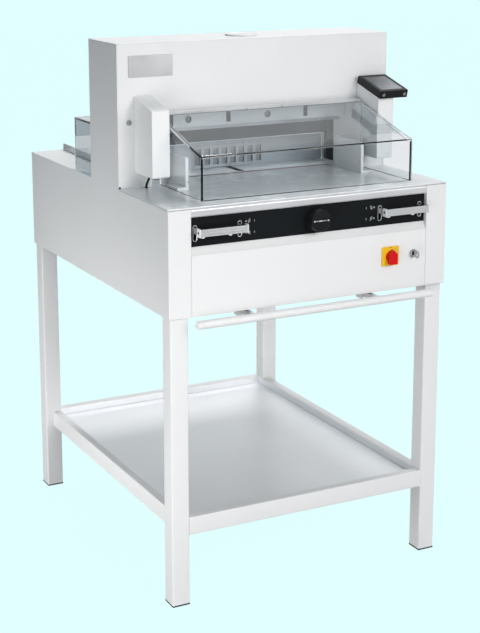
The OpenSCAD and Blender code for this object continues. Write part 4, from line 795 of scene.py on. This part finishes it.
def screen_reflection_group():
    """A liquid-crystal panel with a painted reflection that turns it from dark to pale across the panel, and
    a fine grain.
    """
    tree, given, out = new_group("screen_reflection", ["Pale", "Deep", "From", "To"], ["Color", "Roughness"])
    coordinates = add(tree, "TexCoord", {}).outputs
    place = add(tree, "SeparateXYZ", {0: coordinates["Generated"]}).outputs
    across = add(tree, "Math", {0: place["X"], 1: place["Y"]}, operation="SUBTRACT").outputs[0]
    turn = {"Value": across, "From Min": given["From"], "From Max": given["To"]}
    share = add(tree, "MapRange", turn, interpolation_type="SMOOTHSTEP").outputs["Result"]
    grain = add(tree, "TexNoise", {"Vector": coordinates["Object"], "Scale": 900.0}).outputs["Fac"]
    rough = add(tree, "MapRange", {"Value": grain, "To Min": 0.1, "To Max": 0.2}).outputs["Result"]
    return put_out(tree, out, Color=mixed(tree, share, given["Deep"], given["Pale"]), Roughness=rough)


# Painted reflection: the screen's colour runs from dark to pale across it.
screen_grey = finish(
    "screen_grey", screen_reflection_group(),
    {"Pale": (0.34, 0.36, 0.38, 1), "Deep": (0.045, 0.05, 0.055, 1), "From": -0.75, "To": 0.55},
    {"Specular IOR Level": 0.5})
soft_copy("display_case", "display_housing", display_black, "machine", "display_black", edge=0.7 * MM)
dress(screen_grey, "display_screen")

# Side lays: two folded steel angles, coated white and screwed to the front table.
# Their upright sides guide the stack square to the knife.
lay_white = grained(
    "lay_white", pale=(0.82, 0.83, 0.84), deep=(0.79, 0.80, 0.81), gloss=0.35, matt=0.45,
    size=1000, depth=0.05, specular=0.45)
soft_copy("lay_angles", "side_lays", lay_white, "machine", "lay_white", edge=0.9 * MM)

# Rear cover: a bent cover of lightly smoked acrylic over the rear table, behind the tower.
# It is screwed to the rear table's rims.
smoked = clear("smoked_acrylic", (0.62, 0.68, 0.70), gloss=0.02, matt=0.08)
soft_copy("rear_cover_sheet", "rear_guard", smoked, "machine", "clear_acrylic", edge=0.8 * MM)

# Control strip: a black anodised strip with printed marks, and a sealed control unit behind it.
# Bright eyelets, rolled from aluminium, line the slots of the two-hand bars.
arm_reach = 57.5 * MM
slot_half_w = 4.5 * MM
slot_foot = 13 * MM
slot_h = 36 * MM
eyelet_r = 0.9 * MM
ink = 0.12 * MM
print_line = 1.1 * MM
print_reach = 74 * MM
print_rows = ((47 * MM, 35), (20 * MM, -35))
dot_r = 2 * MM
sign_at = 8 * MM
sign_l = 8 * MM
sign_pitch = 3 * MM
tick_at = 22 * MM
tick_l = 5 * MM
fascia_black = brushed(
    "fascia_black", pale=(0.0075, 0.0095, 0.011), deep=(0.0055, 0.0072, 0.0085), gloss=0.42, matt=0.55,
    stretch=strokes_x, depth=0.08, specular=0.1)
mark_grey = grained(
    "mark_grey", pale=(0.5, 0.51, 0.52), deep=(0.42, 0.43, 0.44), gloss=0.5, matt=0.65,
    size=1500, depth=0.05, specular=0.3)
unit_grey = grained(
    "unit_grey", pale=(0.2, 0.205, 0.21), deep=(0.15, 0.155, 0.16), gloss=0.45, matt=0.6,
    size=900, depth=0.1, specular=0.4)
dress(fascia_black, "control_fascia")
dress(unit_grey, "control_unit")
strip_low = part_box("control_fascia")[0]
slot_low = strip_low.z + slot_foot
slot_high = slot_low + slot_h
eyelet_half_w = slot_half_w + eyelet_r / 2
eyelet_low = slot_low - eyelet_r / 2
eyelet_high = slot_high + eyelet_r / 2
bars = {name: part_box(name) for name in ("activation_bar_left", "activation_bar_right")}
eyelets = bmesh.new()
for bar_low, bar_high in bars.values():
    bar_mid = (bar_low.x + bar_high.x) / 2
    for x in (bar_mid - arm_reach, bar_mid + arm_reach):
        slot_box = rectangle(x - eyelet_half_w, x + eyelet_half_w, eyelet_low, eyelet_high)
        stadium = bent(slot_box, slot_half_w, closed=True, steps=8)
        sweep(eyelets, [(p.x, strip_low.y, p.y) for p in stadium], eyelet_r, closed=True)
make_piece("slot_eyelets", eyelets, rail_aluminium, "machine", "bar_aluminium")


def print_mark(shape, outline, y):
    """Adds a thin raised print on a face that looks to the front."""
    prism(shape, outline, "y", y - ink, y)


def dot(x, z, r, steps=16):
    """A round dot about a middle point."""
    turns = [2 * math.pi * i / steps for i in range(steps)]
    return [(x + r * math.cos(a), z + r * math.sin(a)) for a in turns]


def stroke(x, z, length, width, angle):
    """A straight stroke about a middle point, turned by an angle in degrees."""
    c, s = math.cos(math.radians(angle)), math.sin(math.radians(angle))
    corners = rectangle(-length / 2, length / 2, -width / 2, width / 2)
    return [(x + c * u - s * v, z + s * u + c * v) for u, v in corners]


prints = bmesh.new()
for side, (bar_low, bar_high) in zip((1, -1), bars.values()):
    near = (bar_low.x + bar_high.x) / 2 + side * print_reach
    for row, tilt in print_rows:
        z = strip_low.z + row
        print_mark(prints, dot(near, z, dot_r), strip_low.y)
        for k in (-1, 0, 1):
            sign = stroke(near + side * sign_at, z + k * sign_pitch, sign_l, print_line, tilt * side)
            print_mark(prints, sign, strip_low.y)
        print_mark(prints, stroke(near + side * tick_at, z, tick_l, print_line, 90), strip_low.y)
make_piece("strip_prints", prints, mark_grey, "machine", "fascia_black")

# Control dial: a turned black plastic knob with a skirt and a groove, pushed on the control unit's shaft.
# A row of white marks is printed across its face.
dial_l = 30 * MM
dial_face_r = 25.5 * MM
skirt = 3 * MM
groove = 0.8 * MM
skirt_round = 0.5 * MM
face_round = 2 * MM
dial_rows = ((-18.5, 3.4, 3.4), (-12, 4, 1.6), (-2, 11, 2.2), (8, 4, 1.6), (13, 2, 1.6), (18.5, 3.4, 3.4))
dial_black = grained(
    "dial_black", pale=(0.011, 0.013, 0.0145), deep=(0.007, 0.0085, 0.0095), gloss=0.34, matt=0.46,
    size=1500, depth=0.08, specular=0.14)
mark_white = grained(
    "mark_white", pale=(0.8, 0.81, 0.82), deep=(0.7, 0.71, 0.72), gloss=0.5, matt=0.65,
    size=1500, depth=0.05, specular=0.3)
low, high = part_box("control_dial")
dial_r = (high.x - low.x) / 2
dial_x = (low.x + high.x) / 2
dial_z = (low.z + high.z) / 2
taper = (dial_r - dial_face_r) / dial_l
over_groove = skirt + 3 * groove
dial_profile = [
    (0, 0), (dial_r, 0), (dial_r, skirt), (dial_r - groove, skirt + groove),
    (dial_r - groove, skirt + 2 * groove), (dial_r - taper * over_groove, over_groove),
    (dial_face_r, dial_l), (0, dial_l)]
dial_line = bent(dial_profile, [skirt_round] * 5 + [face_round], steps=4)
knob = bmesh.new()
turned(knob, dial_line, (dial_x, low.y + dial_l, dial_z), (0, -1, 0), steps=96)
make_piece("dial_knob", knob, dial_black, "dial", "dial_black", "control_dial")
dial_marks = bmesh.new()
for x, length, height in dial_rows:
    print_mark(dial_marks, stroke(dial_x + x * MM, dial_z, length * MM, height * MM, 0), low.y)
make_piece("dial_prints", dial_marks, mark_white, "dial", "dial_black")

# Two-hand bars: drawn aluminium bars with screwed end plates, on arms that reach back through the strip.
# Their tops are glossier with a darker colour as painted reflection of the black strip, and two small white
# buffers under each bar stop it on its way down.
bar_l = 120 * MM
bar_d = 16 * MM
end_t = 2 * MM
end_proud = 1.5 * MM
end_corner = 1.2 * MM
buffer_r = 4.5 * MM
buffer_h = 3 * MM
buffer_tip = 5 * MM
buffer_round = 1.2 * MM
buffer_ahead = 2 * MM
buffer_shares = (0.07, 0.65)
head_r = 3 * MM
head_h = 0.6 * MM
socket_r = 1.8 * MM
socket_floor = 0.2 * MM
bar_aluminium = brushed(
    "bar_aluminium", pale=(0.80, 0.81, 0.82), deep=(0.74, 0.75, 0.76), gloss=0.25, matt=0.32,
    stretch=strokes_x, depth=0.01, metallic=0.7)
# Painted reflection: the top faces take a darker, glossier copy of the bar metal.
bar_top_gloss_painted_reflection = brushed(
    "bar_top_gloss_painted_reflection", pale=(0.50, 0.525, 0.53), deep=(0.44, 0.465, 0.47), gloss=0.1, matt=0.16,
    stretch=strokes_x, depth=0.01, metallic=1.0)
buffer_line = bent([(0, -MM), (buffer_r, -MM), (buffer_r, buffer_h), (0, buffer_tip)], buffer_round, steps=4)
screw_head = [(0, 0), (head_r, 0), (head_r, head_h), (socket_r, head_h),
              (socket_r, socket_floor), (0, socket_floor)]
for body, (node, (bar_low, bar_high)) in zip(("bar_left", "bar_right"), bars.items()):
    bar_mid = (bar_low.x + bar_high.x) / 2
    x0, x1 = bar_mid - bar_l / 2, bar_mid + bar_l / 2
    y0, y1 = bar_low.y, bar_low.y + bar_d
    z0, z1 = bar_low.z, bar_high.z
    mid_y, mid_z = (y0 + y1) / 2, (z0 + z1) / 2
    bar = copy_of(node)
    for face in bar.faces:
        face.material_index = int(face.normal.z > 0.7)
    made = make_piece(node + "_grip", bar, [bar_aluminium, bar_top_gloss_painted_reflection], body, "bar_aluminium", node)
    soften(made, edge=0.8 * MM)
    plates = bmesh.new()
    plate = bent(rectangle(y0 - end_proud, y1, z0 - end_proud, z1 + end_proud), end_corner, closed=True)
    for x in (x0 - end_t, x1):
        prism(plates, plate, "x", x, x + end_t)
    soften(make_piece(node + "_ends", plates, lay_white, body, "bar_aluminium"), edge=0.5 * MM)
    buffers = bmesh.new()
    for share in buffer_shares:
        turned(buffers, buffer_line, (x0 + share * bar_l, mid_y - buffer_ahead, z0), (0, 0, -1), steps=24)
    make_piece(node + "_buffers", buffers, mark_white, body, "bar_aluminium")
    screws = bmesh.new()
    turned(screws, screw_head, (x0 - end_t, mid_y, mid_z), (-1, 0, 0), steps=24)
    turned(screws, screw_head, (x1 + end_t, mid_y, mid_z), (1, 0, 0), steps=24)
    make_piece(node + "_screws", screws, motor_black, body, "bar_aluminium")

# Main switch: a yellow moulded plate with round corners and a red pointed grip on a round boss.
# Both are glossy polyamide, screwed through the front panel; two printed strokes mark the positions.
plate_corner = 3.5 * MM
plate_t = 4 * MM
panel_gap = 2 * MM
grip_half = 10.5 * MM
grip_tip = 18 * MM
grip_set = 3 * MM
boss_r = 14 * MM
boss_l = 5 * MM
shaft_r = 4.5 * MM
top_stroke = 6 * MM
top_in = 2.5 * MM
side_stroke = 3 * MM
side_in = (9 * MM, 6 * MM)
stroke_w = 1.2 * MM
switch_yellow = grained(
    "switch_yellow", pale=(0.90, 0.55, 0.012), deep=(0.82, 0.46, 0.008), gloss=0.28, matt=0.4,
    size=1200, depth=0.06, specular=0.5)
handle_red = grained(
    "handle_red", pale=(0.68, 0.003, 0.008), deep=(0.58, 0.002, 0.006), gloss=0.25, matt=0.36,
    size=1200, depth=0.06, specular=0.25)
low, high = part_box("main_switch")
switch_x, switch_z = (low.x + high.x) / 2, (low.z + high.z) / 2
plate = bent(rectangle(low.x, high.x, low.z, high.z), plate_corner, closed=True)
switch = bmesh.new()
prism(switch, plate, "y", low.y, low.y + plate_t)
prism(switch, plate, "y", low.y + plate_t + panel_gap, high.y)
made = make_piece("switch_plate", switch, switch_yellow, "machine", "switch_yellow", "main_switch")
soften(made, edge=1 * MM)
grip_low, grip_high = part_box("switch_handle")
grip_points = [(-grip_half, -grip_tip), (grip_half, -grip_tip), (grip_half, grip_tip - grip_half),
               (0, grip_tip), (-grip_half, grip_tip - grip_half)]
grip_line = [(switch_x + x, switch_z + z) for x, z in grip_points]
shaft_l = grip_high.y - low.y
switch_at = (switch_x, low.y, switch_z)
grip = bmesh.new()
prism(grip, grip_line, "y", grip_low.y + grip_set, low.y - grip_set)
turned(grip, [(0, 0), (boss_r, 0), (boss_r, boss_l), (0, boss_l)], switch_at, (0, -1, 0), steps=40)
turned(grip, [(0, 0), (shaft_r, 0), (shaft_r, shaft_l), (0, shaft_l)], switch_at, (0, 1, 0), steps=24)
made = make_piece("switch_grip", grip, handle_red, "main_handle", "handle_red", "switch_handle")
soften(made, edge=1.2 * MM)
switch_marks = bmesh.new()
print_mark(switch_marks, stroke(switch_x, high.z - top_in, top_stroke, stroke_w, 0), low.y)
print_mark(switch_marks, stroke(low.x + side_in[0], low.z + side_in[1], side_stroke, stroke_w, 90), low.y)
make_piece("switch_prints", switch_marks, motor_black, "machine", "switch_yellow")

# Key lock: a chrome plated barrel nutted into the front panel, with a stamped steel key.
# The key's bow is a round ring, and its shank is a flat blade with round corners.
bow_hole = 5 * MM
key_half = 1.1 * MM
shank_half_t = 0.9 * key_half
shank_half_h = 4 * MM
shank_round = 1 * MM
shank_overlap = 1 * MM
lock_chrome = grained(
    "lock_chrome", pale=(0.62, 0.63, 0.645), deep=(0.5, 0.51, 0.525), gloss=0.1, matt=0.18,
    size=900, depth=0.03, metallic=1.0)
key_steel = grained(
    "key_steel", pale=(0.5, 0.51, 0.52), deep=(0.38, 0.39, 0.4), gloss=0.2, matt=0.32,
    size=900, depth=0.05, metallic=1.0)
soft_copy("lock_barrel", "key_lock", lock_chrome, "machine", "lock_chrome", edge=0.5 * MM)
low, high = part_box("key")
key_mid = (low + high) / 2
bow_r = (high.z - low.z) / 2
bow_at = (key_mid.x, low.y + bow_r, key_mid.z)
bow = rectangle(bow_hole, bow_r, -key_half, key_half)
shank_y = low.y + bow_r + bow_hole + shank_overlap
shank_box = rectangle(shank_y, high.y, key_mid.z - shank_half_h, key_mid.z + shank_half_h)
shank = bent(shank_box, shank_round, closed=True)
key_shape = bmesh.new()
turned(key_shape, bow + bow[:1], bow_at, (1, 0, 0), steps=40)
bmesh.ops.remove_doubles(key_shape, verts=key_shape.verts, dist=same_point)
prism(key_shape, shank, "x", key_mid.x - shank_half_t, key_mid.x + shank_half_t)
soften(make_piece("key_blank", key_shape, key_steel, "lock_key", "key_steel", "key"), edge=0.3 * MM)

# Front bar: a round steel bar on two arms under the housing, coated white like the stand.
# Its arms turn on pins in the bottom plate's lugs.
soft_copy("round_bar", "knee_bar", white_coat, "front_bar", "white_coat", edge=0.9 * MM)

# Mains inlet: a black moulded socket with flat pins, screwed into the rear panel.
# It is hard plastic with a fine grain.
inlet_black = grained(
    "inlet_black", pale=(0.03, 0.031, 0.033), deep=(0.018, 0.019, 0.02), gloss=0.35, matt=0.5,
    size=1000, depth=0.1, specular=0.45)
soft_copy("inlet_socket", "mains_inlet", inlet_black, "machine", "inlet_black", edge=0.5 * MM)

# Studio: a pale floor that runs out into a pale backdrop of the same colour, between softly glowing walls.
# Large soft lamps stand at the front right, above and behind, and two small ones low on the left.
# The camera looks from the photograph's side.
backdrop_pale = (0.752, 1.0, 1.0, 1)
backdrop_bright = (0.98, 0.97, 0.98, 1)
floor_share = 0.96
floor_reach = 15.0
base_glow = 0.1
glows = (("Y", -1.0, 0.63), ("Y", 1.0, 0.28), ("X", 1.0, 0.66))
camera_place = (-1.730, -3.3945, 1.640)
camera_azimuth = -27.38
camera_elevation = 12.08
bpy.context.scene.view_settings.view_transform = "Standard"


def backdrop(tree, bounces):
    """Whether a ray has met nothing but clear sheets, and the colour that it then finds."""
    path = add(tree, "LightPath", {}).outputs
    depths = {0: path["Ray Depth"], 1: path["Transmission Depth"]}
    bounced = add(tree, "Math", depths, operation="SUBTRACT").outputs[0]
    direct = add(tree, "Math", {0: bounced, 1: bounces}, operation="LESS_THAN").outputs[0]
    seen = {0: path["Is Camera Ray"], 1: path["Is Transmission Ray"]}
    looked = add(tree, "Math", seen, operation="MAXIMUM").outputs[0]
    straight = add(tree, "Math", {0: direct, 1: looked}, operation="MULTIPLY").outputs[0]
    behind = add(tree, "Math", {0: path["Transmission Depth"], 1: 0.5}, operation="GREATER_THAN").outputs[0]
    return straight, mixed(tree, behind, backdrop_pale, backdrop_bright)


def stage_material():
    """A floor that keeps its pale colour to the eye and shows only a little shade."""
    made = bpy.data.materials.new("floor_pale")
    made.use_nodes = True
    tree = made.node_tree
    tree.nodes.clear()
    straight, colour = backdrop(tree, 0.5)
    matt = add(tree, "BsdfDiffuse", {"Color": (0.5, 0.505, 0.51, 1)})
    shine = add(tree, "Emission", {"Color": colour, "Strength": 1.03})
    share = add(tree, "Math", {0: straight, 1: floor_share}, operation="MULTIPLY")
    both = add(tree, "MixShader", {0: share.outputs[0], 1: matt.outputs[0], 2: shine.outputs[0]})
    add(tree, "OutputMaterial", {"Surface": both.outputs[0]})
    return made


floor_mesh = bpy.data.meshes.new("floor")
floor_corners = [(x, y, 0) for x, y in rectangle(-floor_reach, floor_reach, -floor_reach, floor_reach)]
floor_mesh.from_pydata(floor_corners, [], [(0, 1, 2, 3)])
floor_mesh.materials.append(stage_material())
floor = bpy.data.objects.new("floor", floor_mesh)
bpy.context.scene.collection.objects.link(floor)

world = bpy.data.worlds.new("studio")
world.use_nodes = True
sky = world.node_tree
sky.nodes.clear()
direction = add(sky, "SeparateXYZ", {0: add(sky, "TexCoord", {}).outputs["Generated"]}).outputs
glow = 0.0
for axis, end, share in glows:
    side_glow = {"Value": direction[axis], "From Min": 0.0, "From Max": end, "To Min": 0.0, "To Max": share}
    part = add(sky, "MapRange", side_glow).outputs["Result"]
    glow = add(sky, "Math", {0: part, 1: glow}, operation="ADD").outputs[0]
walls = add(sky, "Background", {"Color": (1.0, 0.965, 0.95, 1), "Strength": glow})
ambient = add(sky, "Background", {"Color": (0.35, 0.8, 1.0, 1), "Strength": base_glow})
room = add(sky, "AddShader", {0: walls.outputs[0], 1: ambient.outputs[0]})
straight, colour = backdrop(sky, 1.5)
far = add(sky, "Background", {"Color": colour, "Strength": 1.0})
both = add(sky, "MixShader", {0: straight, 1: room.outputs[0], 2: far.outputs[0]})
add(sky, "OutputWorld", {"Surface": both.outputs[0]})
bpy.context.scene.world = world


def soft_lamp(name, place, aim, size, power, spread=180, colour=(1.0, 0.975, 0.96)):
    """A flat lamp that looks at a point and lights a cone of so many degrees about it."""
    lamp = bpy.data.lights.new(name, "AREA")
    lamp.shape = "RECTANGLE"
    lamp.size, lamp.size_y = size
    lamp.spread = math.radians(spread)
    lamp.energy = power
    lamp.color = colour
    made = bpy.data.objects.new(name, lamp)
    bpy.context.scene.collection.objects.link(made)
    made.visible_camera = False
    made.visible_transmission = False
    made.location = place
    made.rotation_euler = (Vector(aim) - Vector(place)).to_track_quat("-Z", "Y").to_euler()


soft_lamp("lamp_front_right", place=(0.9, -4.2, 2.7), aim=(0, 0, 0.8), size=(1.8, 1.5), power=76,
          colour=(1.0, 0.97, 0.955))
soft_lamp("lamp_top", place=(0.8, 1.8, 4.0), aim=(0.8, 0.2, 0.9), size=(1.7, 0.9), power=92,
          colour=(1.0, 0.98, 0.97))
soft_lamp("lamp_back_right", place=(1.9, 3.7, 1.0), aim=(0, 0.1, 0.5), size=(2.8, 1.6), power=6.8)
soft_lamp("lamp_low_left", place=(-2.4, -0.1, 0.2), aim=(0, 0.05, 0.05), size=(0.8, 0.8), power=4.6,
          spread=62)
soft_lamp("lamp_front_left", place=(-1.7, -2.0, 0.4), aim=(-0.2, 0, 0.5), size=(1.0, 1.0), power=4.9,
          spread=80)

camera_data = bpy.data.cameras.new("camera")
camera_data.sensor_width = 36
camera_data.lens = 84.2
camera_data.shift_y = -0.15
camera = bpy.data.objects.new("camera", camera_data)
bpy.context.scene.collection.objects.link(camera)
camera.location = camera_place
camera.rotation_euler = (math.radians(90 - camera_elevation), 0, math.radians(camera_azimuth))
bpy.context.scene.camera = camera

bpy.context.view_layer.update()
